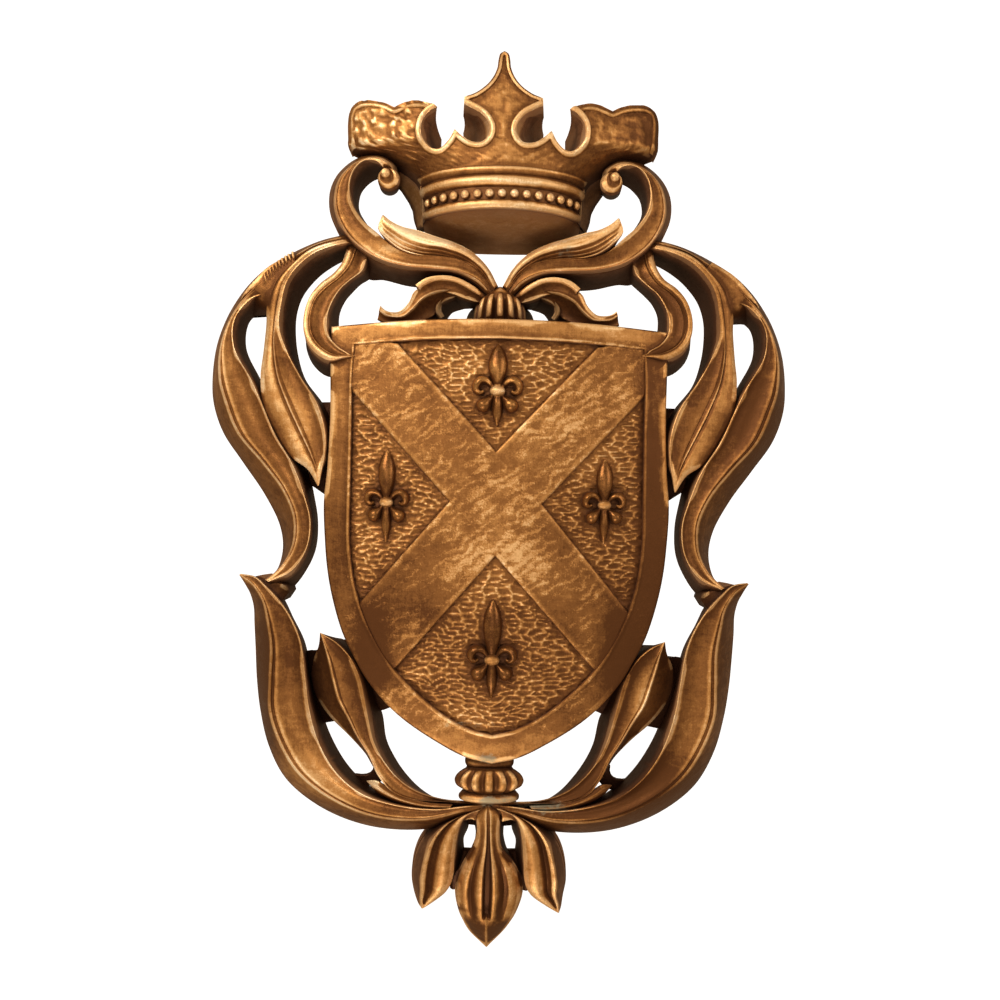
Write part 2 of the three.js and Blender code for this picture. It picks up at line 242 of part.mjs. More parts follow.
    [[-6.3, -227.1, 0], [-4.5, -211.6, 32.5], [-2.1, -210.6, 34], [0.3, -211.6, 32.5], [2.4, -227.1, 0]],
    [[-12.2, -231.5, 0], [-9.7, -218, 32], [-1.7, -216.6, 35], [5.9, -218, 32], [9, -231.5, 0]],
    [[-10.9, -241.7, 0], [-9.4, -229.9, 31.5], [-1.4, -228.6, 35], [6.2, -229.9, 31.5], [9.4, -243.2, 0]],
    [[-12.5, -251.9, 0], [-12.5, -240.2, 31], [-1, -238.8, 35.5], [7.6, -240.2, 31], [11.9, -252.6, 0]],
    [[-17.3, -260.6, 0], [-20.2, -255.2, 29], [-1.4, -252.3, 36], [18.4, -254.5, 29], [17, -260.6, 0]],
    [[-20.9, -275.2, 0], [-24.1, -271.4, 27], [-1.5, -267.4, 36], [23.3, -271.4, 27], [20.6, -275.2, 0]],
    [[-23, -287.2, 0], [-21.4, -287.2, 26], [-1.7, -283.5, 35.5], [19.2, -287.2, 26], [20.8, -287.2, 0]],
    [[-19.7, -294.4, 0], [-18.2, -294.4, 25.5], [-1.7, -286.5, 41.5], [15.3, -294.4, 25.5], [16.8, -294.4, 0]],
    [[-12.2, -309.4, 0], [-14, -301.6, 25], [-1.7, -295.1, 38.5], [10.1, -301.6, 25], [8.2, -309.4, 0]],
    [[-2.7, -313, 0], [-1.6, -311.5, 28], [-1.4, -311.1, 28.5], [-1.2, -311.5, 28], [-0.5, -313, 0]],
  ] },
  drop_web_top: { sides: 2, panels: ['flat', 'flat'], shift: [[0, 0]], stations: [
    [[-14.9, -215.2, 0], [-14.9, -215.2, 31], [-10.1, -214.2, 32], [-5.2, -213.5, 32], [-5.2, -213.5, 0]],
    [[-18.4, -219.4, 0], [-18.4, -219.4, 31], [-12.9, -218.7, 31], [-7.3, -217.8, 31.5], [-7.3, -217.8, 0]],
    [[-20.5, -223.6, 0], [-20.5, -223.6, 29], [-14.3, -221.9, 29.5], [-7.7, -223.4, 29.5], [-7.7, -223.4, 0]],
  ] },
  drop_web_back: { sides: 2, panels: ['flat', 'flat'], shift: [[0, 0]], stations: [
    [[-33.4, -223.6, 0], [-33.4, -223.6, 10], [-16.2, -220.8, 10], [-1.9, -220.8, 10], [-1.9, -220.8, 0]],
    [[-25, -230.4, 0], [-25, -230.4, 7], [-14.9, -229.4, 6], [-4.8, -229.7, 7], [-4.8, -229.7, 0]],
    [[-22.2, -236, 0], [-22.2, -236, 4.5], [-14.3, -234.8, 3], [-7, -235.7, 4.5], [-7, -235.7, 0]],
  ] },
  drop_web_low: { sides: 2, panels: ['flat', 'flat'], shift: [[0, 0]], stations: [
    [[-25.1, -253, 0], [-25.1, -253, 4.5], [-17.2, -255.1, 3], [-8.8, -253.4, 4.5], [-8.8, -253.4, 0]],
    [[-28.6, -260.7, 0], [-28.6, -260.7, 7], [-22.1, -262.5, 6], [-13.4, -260.7, 7], [-13.4, -260.7, 0]],
    [[-29.3, -272.2, 0], [-29.3, -272.2, 7], [-25.4, -274.1, 6], [-20.6, -272.2, 7], [-20.6, -272.2, 0]],
    [[-28.6, -280.6, 0], [-28.6, -280.6, 6], [-26.5, -282.5, 4], [-22.1, -280.6, 6], [-22.1, -280.6, 0]],
  ] },
};

// right half of the shield, from the middle of the top edge to the bottom tip
const SHIELD_OUTLINE = [
  [0, 121.8], [31, 121.5], [65, 120.2], [115.4, 116.8], [115.6, 92.5],
  [115.2, 55], [116.5, 20], [118.5, -3.4], [117.5, -27.4], [115.5, -48],
  [111.4, -68.5], [103.8, -92.5], [94.9, -109.6], [86.7, -123.3],
  [72.9, -139.6], [59.1, -151.6], [38.5, -165], [18, -175.6], [0, -179.7],
];
const SHIELD_INNER = [
  [0, 108.5], [31, 107.9], [65, 106.4], [98.5, 104], [99.9, 82],
  [99.9, 54.5], [99.9, 27], [99.9, 0], [99.9, -27], [97.8, -48],
  [95.1, -61.4], [88, -82], [78.1, -100.9], [67, -116.4],
  [56.7, -127.1], [45.2, -137.3], [31.6, -147.5], [15, -156], [0, -159.7],
];
const SHIELD_CORNER = 3;         // the top corner's place in both outlines
// saltire: each arm runs between two edges [x, z] from the shield's top to its
// foot, and its upper end fills the corner of the border
const SALTIRE_ARMS = [
  { edgeA: [[-68.5, 105], [-0.9, 33], [30.9, -2.3], [95.2, -79.5]],
    edgeB: [[-101.3, 73.8], [-32, -1.5], [-0.1, -38], [71.2, -117.8]],
    end: [[-97, 110], [-104.5, 102]] },
  { edgeA: [[66.4, 104.6], [-0.9, 33], [-32, -1.5], [-96.6, -76.6]],
    edgeB: [[100.3, 72.7], [30.9, -2.3], [-0.1, -38], [-69.9, -119.9]],
    end: [[97, 110], [104.5, 102]] },
];
// lilies: [x, z] of the knot, size, and how tall they are above and below it
const LILIES = [
  [-0.6, 73.2, 0.99, 1.03, 0.9],
  [-74.7, -3, 0.9, 1.28, 1.16],
  [73.2, -2.3, 0.88, 1.14, 1.16],
  [-1.1, -107.9, 0.98, 1.32, 1.02],
];
// crown: half width at each height, and the openwork
const CROWN_FLARE = [
  [170, 52], [191, 55.5], [203, 56.2], [216, 57.5], [222, 61.5], [228, 70], [233, 81],
  [236.3, 90.5], [238.6, 100], [240.6, 107], [243.2, 111], [262, 112], [300, 113],
];
const CROWN_FOOT = [             // half width of its foot at the wall
  [170, 55], [190, 60], [196, 61.9], [199, 63.1], [204, 64.5], [208, 64.7], [215, 68.1],
  [223, 73.5], [236, 86], [241, 90], [246, 98], [249, 101], [262, 108], [300, 112],
];
const SIDE_FLEURON = [
  [-91, 235.6], [-97, 238.4], [-106.3, 240.6], [-107.4, 252.5],
  [-106.8, 263], [-104, 268.2], [-98, 270.4], [-89.1, 269.4],
  [-80, 266.6], [-73.4, 263], [-68.5, 264.6], [-63.6, 266],
  [-57.4, 266.2], [-47.9, 263.4], [-44.5, 261.4],
];
const MIDDLE_FLEURON = [
  [-25.5, 267.7], [-18.8, 270.2], [-12.2, 274.7], [-7.6, 280],
  [-4.2, 286.6], [-3.6, 291.9], [-2.2, 296], [0, 297.8],
];
// the keyhole between two fleurons: its edge on the front, and on the back
const NOTCH_FRONT = [
  [-44.3, 261.3], [-49.7, 258.4], [-53.8, 253.5], [-55.2, 247.8],
  [-53.6, 240.4], [-47.8, 235.1], [-42.4, 234.6], [-36.5, 239],
  [-32.2, 246.2], [-26.9, 241.4], [-21, 238], [-13.5, 238],
  [-9.2, 243], [-9.2, 249], [-14.2, 256], [-20, 259.5], [-26.2, 262.5],
];
const NOTCH_BACK_X = [-44.2, -30.2];
const NOTCH_BACK_FLOOR = 250;

// ---------------------------------------------------------------- tools ----
const wasm = await Module();
wasm.setup();

// a closed solid from a list of [x, y, z] points and triangles
function solid(points, faces) {
  const geometry = new THREE.BufferGeometry();
  geometry.setAttribute('position',
    new THREE.Float32BufferAttribute(points.flat(), 3));
  geometry.setIndex(faces.flat());
  return solidOf(geometry);
}

function solidOf(source) {
  const plain = new THREE.BufferGeometry();
  plain.setAttribute('position', source.getAttribute('position').clone());
  if (source.index) plain.setIndex(source.index.clone());
  const merged = mergeVertices(plain, 1e-4);
  const pos = merged.getAttribute('position').array;
  const index = Array.from(merged.index.array);
  const tris = [];
  let volume = 0;
  for (let i = 0; i < index.length; i += 3) {
    const [a, b, c] = [index[i], index[i + 1], index[i + 2]];
    if (a === b || b === c || a === c) continue;
    tris.push(a, b, c);
    const [p, q, r] = [a, b, c].map((k) => new THREE.Vector3().fromArray(pos, 3 * k));
    volume += p.dot(q.cross(r));
  }
  if (volume < 0) {
    for (let i = 0; i < tris.length; i += 3) [tris[i], tris[i + 1]] = [tris[i + 1], tris[i]];
  }
  return new wasm.Manifold(new wasm.Mesh({
    numProp: 3,
    vertProperties: Float32Array.from(pos),
    triVerts: Uint32Array.from(tris),
  }));
}

// a solid through equal rings of points; the last ring joins the first if closed
function ringLoft(rings, closed = false) {
  const n = rings[0].length;
  const points = rings.flat();
  const faces = [];
  const last = closed ? rings.length : rings.length - 1;
  for (let i = 0; i < last; i++) {
    const a = i * n;
    const b = ((i + 1) % rings.length) * n;
    for (let j = 0; j < n; j++) {
      const k = (j + 1) % n;
      faces.push([a + j, b + j, b + k], [a + j, b + k, a + k]);
    }
  }
  if (!closed) {
    const z = (rings.length - 1) * n;
    for (let j = 1; j < n - 1; j++) {
      faces.push([0, j, j + 1], [z, z + j + 1, z + j]);
    }
  }
  return solid(points, faces);
}

const lerp = THREE.MathUtils.lerp;
const clamp = THREE.MathUtils.clamp;

function table(rows, at) {
  for (let i = 1; i < rows.length; i++) {
    if (at <= rows[i][0]) {
      const t = clamp((at - rows[i - 1][0]) / (rows[i][0] - rows[i - 1][0]), 0, 1);
      return lerp(rows[i - 1][1], rows[i][1], t);
    }
  }
  return rows[rows.length - 1][1];
}

// ------------------------------------------------------ leaves, scrolls ----
// carving across a panel: [part of the width, rise in mm], for a 25 mm panel
const PANELS = {
  flank: [],
  blade: [[0.5, -3.6]],
  face: [[0.45, -2]],
  hollow: [[0.5, -2.6]],
  roll: [],
  rib: [],
  edge: [],
  crestface: [[0.45, -2.4]],
  flutes: [[0.45, -1.5]],
  drop: [[0.4, -2.2]],
  midleaf: [[0.45, 2.2]],
  midleafR: [[0.55, 2.2]],
  flat: [],
};

function sectionsOf(ribbon, mirror) {
  const rows = ribbon.stations.map((station, i) => {
    let [dx, dz] = [0, 0];
    if (mirror) {
      const s = (i / (ribbon.stations.length - 1)) * (ribbon.shift.length - 1);
      const k = Math.min(Math.floor(s), Math.max(ribbon.shift.length - 2, 0));
      const next = ribbon.shift[Math.min(k + 1, ribbon.shift.length - 1)];
      dx = lerp(ribbon.shift[k][0], next[0], s - k);
      dz = lerp(ribbon.shift[k][1], next[1], s - k);
    }
    return station.map(([x, z, h]) => new THREE.Vector3(
      mirror ? -(x + dx) : x, -h, z + dz));
  });
  const rails = rows[0].map((_, j) => new THREE.CatmullRomCurve3(
    rows.map((row) => row[j]), false, 'centripetal'));
  const steps = Math.min(STEPS_ALONG, rows.length > 5 ? rows.length : 3);
  const sections = [];
  for (let i = 0; i <= steps; i++) {
    const p = rails.map((rail) => rail.getPoint(i / steps));
    const line = [p[0]];
    for (let j = 1; j < p.length - 2; j++) {
      line.push(p[j]);
      const width = p[j].distanceTo(p[j + 1]);
      for (const [t, rise] of PANELS[ribbon.panels[j - 1]]) {
        const q = p[j].clone().lerp(p[j + 1], t);
        q.y -= rise * Math.min(1, width / 20);
        line.push(q);
      }
    }
    line.push(p[p.length - 2], p[p.length - 1]);
    line[0].y = 0;
    line[line.length - 1].y = 0;
    sections.push(line.map((q) => [q.x, q.y, q.z]));
  }
  return sections;
}

const bodies = [];
for (const ribbon of Object.values(RIBBONS)) {
  bodies.push(ringLoft(sectionsOf(ribbon, false)));
  if (ribbon.sides === 2) bodies.push(ringLoft(sectionsOf(ribbon, true)));
}

// --------------------------------------------------------------- shield ----
function shieldHeight(x, z) {
  const low = clamp((z + 175) / 115, 0, 1);
  const across = 1 - Math.min(1, (x / SHIELD_HALF_WIDTH) ** 2);
  return SHIELD_EDGE_H + SHIELD_CROWNING * across * lerp(0.4, 1, low * (2 - low));
}

function closedOutline(half, topCount, sideCount) {
  const part = (points, count) => {
    const curve = new THREE.CatmullRomCurve3(
      points.map(([x, z]) => new THREE.Vector3(x, 0, z)), false, 'centripetal');
    return Array.from({ length: count + 1 }, (_, i) => {
      const p = curve.getPoint(i / count);
      return [p.x, p.z];
    });
  };
  const right = [...part(half.slice(0, SHIELD_CORNER + 1), topCount).slice(0, -1),
    ...part(half.slice(SHIELD_CORNER), sideCount)];
  const left = right.slice(1, -1).reverse().map(([x, z]) => [-x, z]);
  return [...right, ...left];
}

const outer = closedOutline(SHIELD_OUTLINE, 4, 13);
const inner = closedOutline(SHIELD_INNER, 4, 13);

function shieldBody() {
  const centre = [0, -5];
  const rings = [0.985, 0.6, 0.25].map((scale) => outer.map(([x, z]) => {
    const px = lerp(centre[0], x, scale);
    const pz = lerp(centre[1], z, scale);
    return [px, -(shieldHeight(px, pz) - FIELD_DEPTH), pz];
  }));
  const n = outer.length;
  const points = [...rings.flat(), [centre[0], -(shieldHeight(...centre) - FIELD_DEPTH), centre[1]]];
  const faces = [];
  for (let r = 0; r < rings.length - 1; r++) {
    for (let j = 0; j < n; j++) {
      const k = (j + 1) % n;
      faces.push([r * n + j, (r + 1) * n + j, (r + 1) * n + k],
        [r * n + j, (r + 1) * n + k, r * n + k]);
    }
  }
  const tip = rings.length * n;
  for (let j = 0; j < n; j++) {
    faces.push([(rings.length - 1) * n + j, tip, (rings.length - 1) * n + (j + 1) % n]);
  }
  // walls and back
  const foot = points.length;
  for (const [x, z] of outer) points.push([x * 0.99, 0, z]);
  const middle = points.length;
  points.push([centre[0], 0, centre[1]]);
  for (let j = 0; j < n; j++) {
    const k = (j + 1) % n;
    faces.push([foot + j, j, k], [foot + j, k, foot + k], [middle, foot + j, foot + k]);
  }
  return solid(points, faces);
}

function shieldBorder() {
  const rings = outer.map(([ox, oz], i) => {
    const [ix, iz] = inner[i];
    const at = (t, dh, floor) => {
      const x = lerp(ox, ix, t);
      const z = lerp(oz, iz, t);
      return [x, floor === undefined ? -(shieldHeight(x, z) + dh) : -floor, z];
    };
    return [at(0, 0, 0), at(0, -0.6), at(1, 0), at(1, -8), at(0.15, 0, 0)];
  });
  return ringLoft(rings, true);
}

function saltireArm({ edgeA, edgeB, end }) {
  const steps = 2 * (edgeA.length - 1);
  const along = (edge, i) => {
    const k = Math.min(Math.floor(i / 2), edge.length - 2);
    return edge[k].map((v, axis) => lerp(v, edge[k + 1][axis], i / 2 - k));
  };
  const rings = [];
  for (let i = -1; i <= steps; i++) {
    const a = i < 0 ? end[0] : along(edgeA, i);
    const b = i < 0 ? end[1] : along(edgeB, i);
    const m = a.map((v, k) => (v + b[k]) / 2);
    const top = ([x, z]) => [x, -(shieldHeight(x, z) - SALTIRE_GROOVE), z];
    rings.push([[a[0], -30, a[1]], top(a), top(m), top(b), [b[0], -30, b[1]]]);
  }
  return ringLoft(rings);
}

bodies.push(shieldBody(), shieldBorder(), ...SALTIRE_ARMS.map(saltireArm));

// --------------------------------------------------------------- lilies ----
// a rounded petal lofted along a line of [x, z, half width, rise]
function petal(cx, cz, k, line, sides = 5) {
  const rings = line.map(([x, z, w, rise], i) => {
    const before = line[Math.max(i - 1, 0)];
    const after = line[Math.min(i + 1, line.length - 1)];
    const along = new THREE.Vector2(after[0] - before[0], after[1] - before[1]).normalize();
    const base = shieldHeight(cx + k * x, cz + k * z) - FIELD_DEPTH - 1.5;
    const ring = [];
    for (let j = 0; j < sides; j++) {
      const angle = Math.PI * (j / (sides - 1));
      const across = Math.cos(angle) * w * k;
      ring.push([cx + k * x + along.y * across,
        -(base + Math.sin(angle) * (rise * k + 1.5)),
        cz + k * z - along.x * across]);
    }
    return ring;
  });
  return ringLoft(rings);
}

function lily([cx, cz, k, up, low]) {
  const tall = (rows) => rows.map(([x, z, w, r]) => [x, z * (z > 0 ? up : low), w, r]);
  const parts = [
    petal(cx, cz, k, tall([[0, 31.5, 0.5, 0.3], [0, 26, 5, 3.3], [0, 17, 6.8, LILY_H],
      [0, 7, 4.9, 5], [0, 0, 2.6, 3.6]])),
    petal(cx, cz, k, tall([[0, 0, 2.2, 3.4], [0, -11, 4.1, 4.9], [0, -20, 3, 3.5], [0, -26.5, 0.4, 0.3]])),
    petal(cx, cz, k, [[-5, 0, 1.6, 5], [0, 0, 4.3, 7.4], [5, 0, 1.6, 5]]),
  ];
  for (const s of [-1, 1]) {
    parts.push(petal(cx, cz, k, [
      [s * 2.4, 0.6, 1.8, 2.8], [s * 6, 6.2, 2.8, 4.8], [s * 11.4, 7.4, 3.3, LILY_H],
      [s * 14.5, 3.4, 3.3, LILY_H], [s * 12.4, -1, 2.5, 3.4]], 4));
    parts.push(petal(cx, cz, k, [
      [s * 1.6, -1.4, 1.6, 2.6], [s * 7.6, -8, 4.9, 6.2], [s * 11.2, -11.2, 4.8, 6],
      [s * 13.4, -13.3, 0.9, 0.9]], 4));
  }
  return parts;
}

for (const place of LILIES) bodies.push(...lily(place));

// ---------------------------------------------------------------- knobs ----
// half-round turned body: rows of [z, half width, depth over the base height]
function turned(rows, base, foot = 1, x0 = 0) {
  const rings = rows.map(([z, w, d]) => {
    const ring = [[x0 + foot * w, 0, z]];
    for (let j = 0; j <= ROUND_STEPS; j++) {
      const angle = Math.PI * (j / ROUND_STEPS);
      ring.push([x0 + w * Math.cos(angle), -(base + d * Math.sin(angle)), z]);
    }
    ring.push([x0 - foot * w, 0, z]);
    return ring;
  });
  return ringLoft(rings);
}

bodies.push(
  turned([[147.4, 2.4, 14], [144.4, 6.2, 20.4], [141.2, 11.4, 23.6], [136.4, 16.2, 26.8],
    [130.4, 18.4, 27], [123.6, 18.6, 22.8], [117, 17, 19]], TOP_KNOB_H, 1.33),
  turned([[-172, 15, 2], [-179, 16.8, 6.2], [-183.6, 16.4, 6.4], [-185.2, 17, 9],
    [-189, 22.6, 13.4], [-193.6, 24.4, 14.8], [-198, 22.6, 13.4], [-201.2, 17, 10],
    [-204.8, 21, 11.4], [-208.2, 17, 7.4], [-212, 12, 2], [-218, 9, 1]],
  LOW_KNOB_H, 0.6, -1.6),
);

// the crest scrolls end in a curl that stands on the wall: [x, z, height, radius]
const CURL = [
  [-79.6, 220.8, 45.6, 2.2], [-78.9, 219.8, 43, 4.6], [-77.9, 218.1, 41.4, 7],
  [-77.6, 217.8, 38.5, 7.7], [-79.8, 222.4, 18, 7.5], [-82, 227.1, 0, 7.2],
];
for (const [sign, dx] of [[-1, 0], [1, 3]]) {
  bodies.push(ringLoft(CURL.map(([x, z, h, r]) => Array.from({ length: 8 }, (_, j) => {
    const angle = (2 * Math.PI * j) / 8;
    return [-sign * (x + dx) + r * Math.cos(angle), -h, z + r * Math.sin(angle)];
  }))));
}

// ---------------------------------------------------------------- crown ----
const crownWidth = (z) => table(CROWN_FLARE, z);
function crownHeight(x, z, proud = 0) {
  const side = CROWN_SIDE_H + 9 * clamp((z - 200) / 60, 0, 1);
  const round = Math.sqrt(Math.max(0, 1 - (x / (crownWidth(z) + proud)) ** 2));
  return side + (CROWN_DEPTH - side + proud) * round;
}

function crownShell() {
  const levels = [CROWN_LIP_Z, 204, 215, 222, 229, 235, 239, 242, 244.5, 247, 262, 302];
  return ringLoft(levels.map((z) => {
    const w = crownWidth(z);
    const foot = table(CROWN_FOOT, z);
    const ring = [[foot, 0, z]];
    for (let j = 0; j <= ROUND_STEPS + 2; j++) {
      const x = w * Math.cos(Math.PI * (j / (ROUND_STEPS + 2)));
      ring.push([x, -crownHeight(x, z), z]);
    }
    ring.push([-foot, 0, z]);
    return ring;
  }));
}

// the sloping underside, from the lip down to the back
function crownUnderside() {
  const rings = [];
  for (let j = 0; j <= ROUND_STEPS; j++) {
    const x = 55.5 * Math.cos(Math.PI * (j / ROUND_STEPS));
    const drop = CROWN_BACK_DROP * (1 - (x / 58) ** 4) + 0.5;
    const h = crownHeight(x, CROWN_LIP_Z) - 1;
    rings.push([[x, 0, CROWN_LIP_Z + 2], [x, -h, CROWN_LIP_Z + 2],
      [x, -h, CROWN_LIP_Z - 0.2], [x, -h * 0.5, CROWN_LIP_Z - drop * 0.55],
      [x, 0, CROWN_LIP_Z - drop]]);
  }
  return ringLoft(rings);
}

// a flat outline in x, z pulled from behind the back to past the front
function cutter(front, back, frontH = 66) {
  const shape = front.map(([x, z]) => new THREE.Vector2(x, z));
  const turn = Math.sign(THREE.ShapeUtils.area(shape));
  const caps = THREE.ShapeUtils.triangulateShape(shape, []).map((t) => (
    Math.sign(THREE.ShapeUtils.area(t.map((k) => shape[k]))) === turn ? t : [t[0], t[2], t[1]]));
  const n = front.length;
  const points = [
    ...front.map(([x, z]) => [x, -frontH, z]),
    ...back.map(([x, z]) => [x, 4, z]),
  ];
  const faces = [];
  for (const [a, b, c] of caps) faces.push([a, b, c], [n + a, n + c, n + b]);
  for (let j = 0; j < n; j++) {
    const k = (j + 1) % n;
    faces.push([j, n + j, n + k], [j, n + k, k]);
  }
  return solid(points, faces);
}

const mirrored = (list) => list.map(([x, z]) => [-x, z]);

function crownOutline() {
  const left = [[-60, 150], [-72, 186], [-68, 205], [-80, 222]];
  const half = [...left, ...SIDE_FLEURON, ...MIDDLE_FLEURON];
  const other = mirrored(half.slice(0, -1)).reverse();
  return [...half, ...other];
}

function notch(sign) {
  const n = NOTCH_FRONT.length;
  const back = NOTCH_FRONT.map(([x, z], i) => {
    const t = clamp((i - 3) / (n - 7), 0, 1);
    return [lerp(...NOTCH_BACK_X, t), Math.max(z + 9, NOTCH_BACK_FLOOR)];
  });
  // carry the front edge on past the front surface along the same slope
  const front = NOTCH_FRONT.map(([x, z], i) => {
    const h = crownHeight(x, z);
    const t = (66 + 4) / (h + 4);
    return [lerp(back[i][0], x, t), lerp(back[i][1], z, t)];
  });
  front.push([-26, 320], [-45, 320]);
  back.push([-30, 320], [-44.4, 320]);
  const flip = (list) => (sign > 0 ? mirrored(list) : list);
  return cutter(flip(front), flip(back));
}

// the mouldings round the foot of the crown: rows of [z, rise over the shell]
const CROWN_MOULDINGS = [
  [221.6, -3], [221.2, 0.8], [218.6, 1.4], [216.4, 0.5], [215.8, 1.8],
  [212, 3.2], [208.4, 1.8], [207.6, -0.3], [200, -0.3], [199.4, 1.2],
  [196.8, 2.2], [193.6, 1.4], [193.4, -3],
];

function crownMoulding(profile, reach = 0.8) {
  const rings = [];
  const steps = ROUND_STEPS + 2;
  for (let j = 0; j <= steps; j++) {
    const angle = Math.PI * (0.5 + (reach / 2) * (1 - 2 * (j / steps)));
    rings.push(profile.map(([z, rise]) => {
      const w = crownWidth(z);
      const x = (w + rise) * Math.cos(angle);
      const h = crownHeight(w * Math.cos(angle), z) + rise * Math.sin(angle);
      return [x, -h, z];
    }));
  }
  return ringLoft(rings);
}

let crown = crownShell().add(crownUnderside());
const outline = crownOutline();
crown = crown.intersect(cutter(outline, outline));
crown = crown.subtract(notch(-1)).subtract(notch(1));
crown = crown.add(crownMoulding(CROWN_MOULDINGS));
bodies.push(crown);

// beads round the lip, spaced along the curve of the front
for (let i = -BEADS_EACH_SIDE; i <= BEADS_EACH_SIDE; i++) {
  const z = 203.3;
  const w = crownWidth(z);
  let angle = 0;
  let run = 0;
  while (run < Math.abs(i) * BEAD_PITCH && angle < 1.5) {
    const d = 0.01;
    run += d * Math.hypot(w * Math.cos(angle), (CROWN_DEPTH - CROWN_SIDE_H) * Math.sin(angle));
    angle += d;
  }
  const x = Math.sign(i) * w * Math.sin(angle);
  const bead = new THREE.SphereGeometry(BEAD_R, 4, 3);
  bead.translate(x * 1.012, -(crownHeight(x, z) + 0.8), z);
  bodies.push(solidOf(bead));
}

// ------------------------------------------------------------- one cast ----
// pockets closed in between overlapping leaves are filled, as in a casting
const cast = bodies.reduce((whole, body) => whole.add(body))
  .decompose().filter((body) => body.volume() > 0)
  .reduce((whole, body) => whole.add(body))
  .asOriginal().simplify(SLIVER);
const mesh = cast.getMesh();
const geometry = new THREE.BufferGeometry();
geometry.setAttribute('position',
  new THREE.Float32BufferAttribute(Float32Array.from(mesh.vertProperties), 3));
geometry.setIndex(Array.from(mesh.triVerts));

const antiqueGold = new THREE.MeshStandardMaterial({
  color: 0x9a6a35, roughness: 0.42, metalness: 0.75 });
const plaque = new THREE.Mesh(geometry, antiqueGold);
plaque.name = 'coat_of_arms';

const group = new THREE.Group();
group.add(plaque);
export default group;
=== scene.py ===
"""Wall coat of arms in antique gold: the fine relief that stands for the one
cast solid of the frame. Lengths in the tables are millimetres, in the frame's
own axes: x to the viewer's right, z up, h the height over the wall (y = -h)."""
import math

import bmesh
import bpy
import numpy as np
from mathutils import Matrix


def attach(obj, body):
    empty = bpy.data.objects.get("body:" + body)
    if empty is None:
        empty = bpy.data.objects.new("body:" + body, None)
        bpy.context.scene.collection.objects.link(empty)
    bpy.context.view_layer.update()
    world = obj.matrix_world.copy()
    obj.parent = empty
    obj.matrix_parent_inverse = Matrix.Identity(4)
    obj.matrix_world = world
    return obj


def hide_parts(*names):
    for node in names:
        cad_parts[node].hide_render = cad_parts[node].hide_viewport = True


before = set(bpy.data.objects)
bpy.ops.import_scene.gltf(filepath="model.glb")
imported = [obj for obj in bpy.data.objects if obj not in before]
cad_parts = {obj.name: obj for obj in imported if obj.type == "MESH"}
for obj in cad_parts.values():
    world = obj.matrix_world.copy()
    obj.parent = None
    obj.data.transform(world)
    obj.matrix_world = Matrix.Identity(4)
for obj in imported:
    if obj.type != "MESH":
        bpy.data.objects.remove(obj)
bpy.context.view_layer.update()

MM = 0.001

# ------------------------------------------------------------------ sizes --
DRAFT = 0.06
SHIELD_EDGE_H = 38.0
SHIELD_CROWNING = 12.0
SHIELD_HALF_WIDTH = 117.0
FIELD_DEPTH = 3.0
SALTIRE_DROP = 0.7
CROWN_LIP_Z = 194.0
CROWN_BACK_DROP = 15.0
CROWN_DEPTH = 57.5
CROWN_SIDE_H = 15.0
KNOB_BASE_H = 20.0

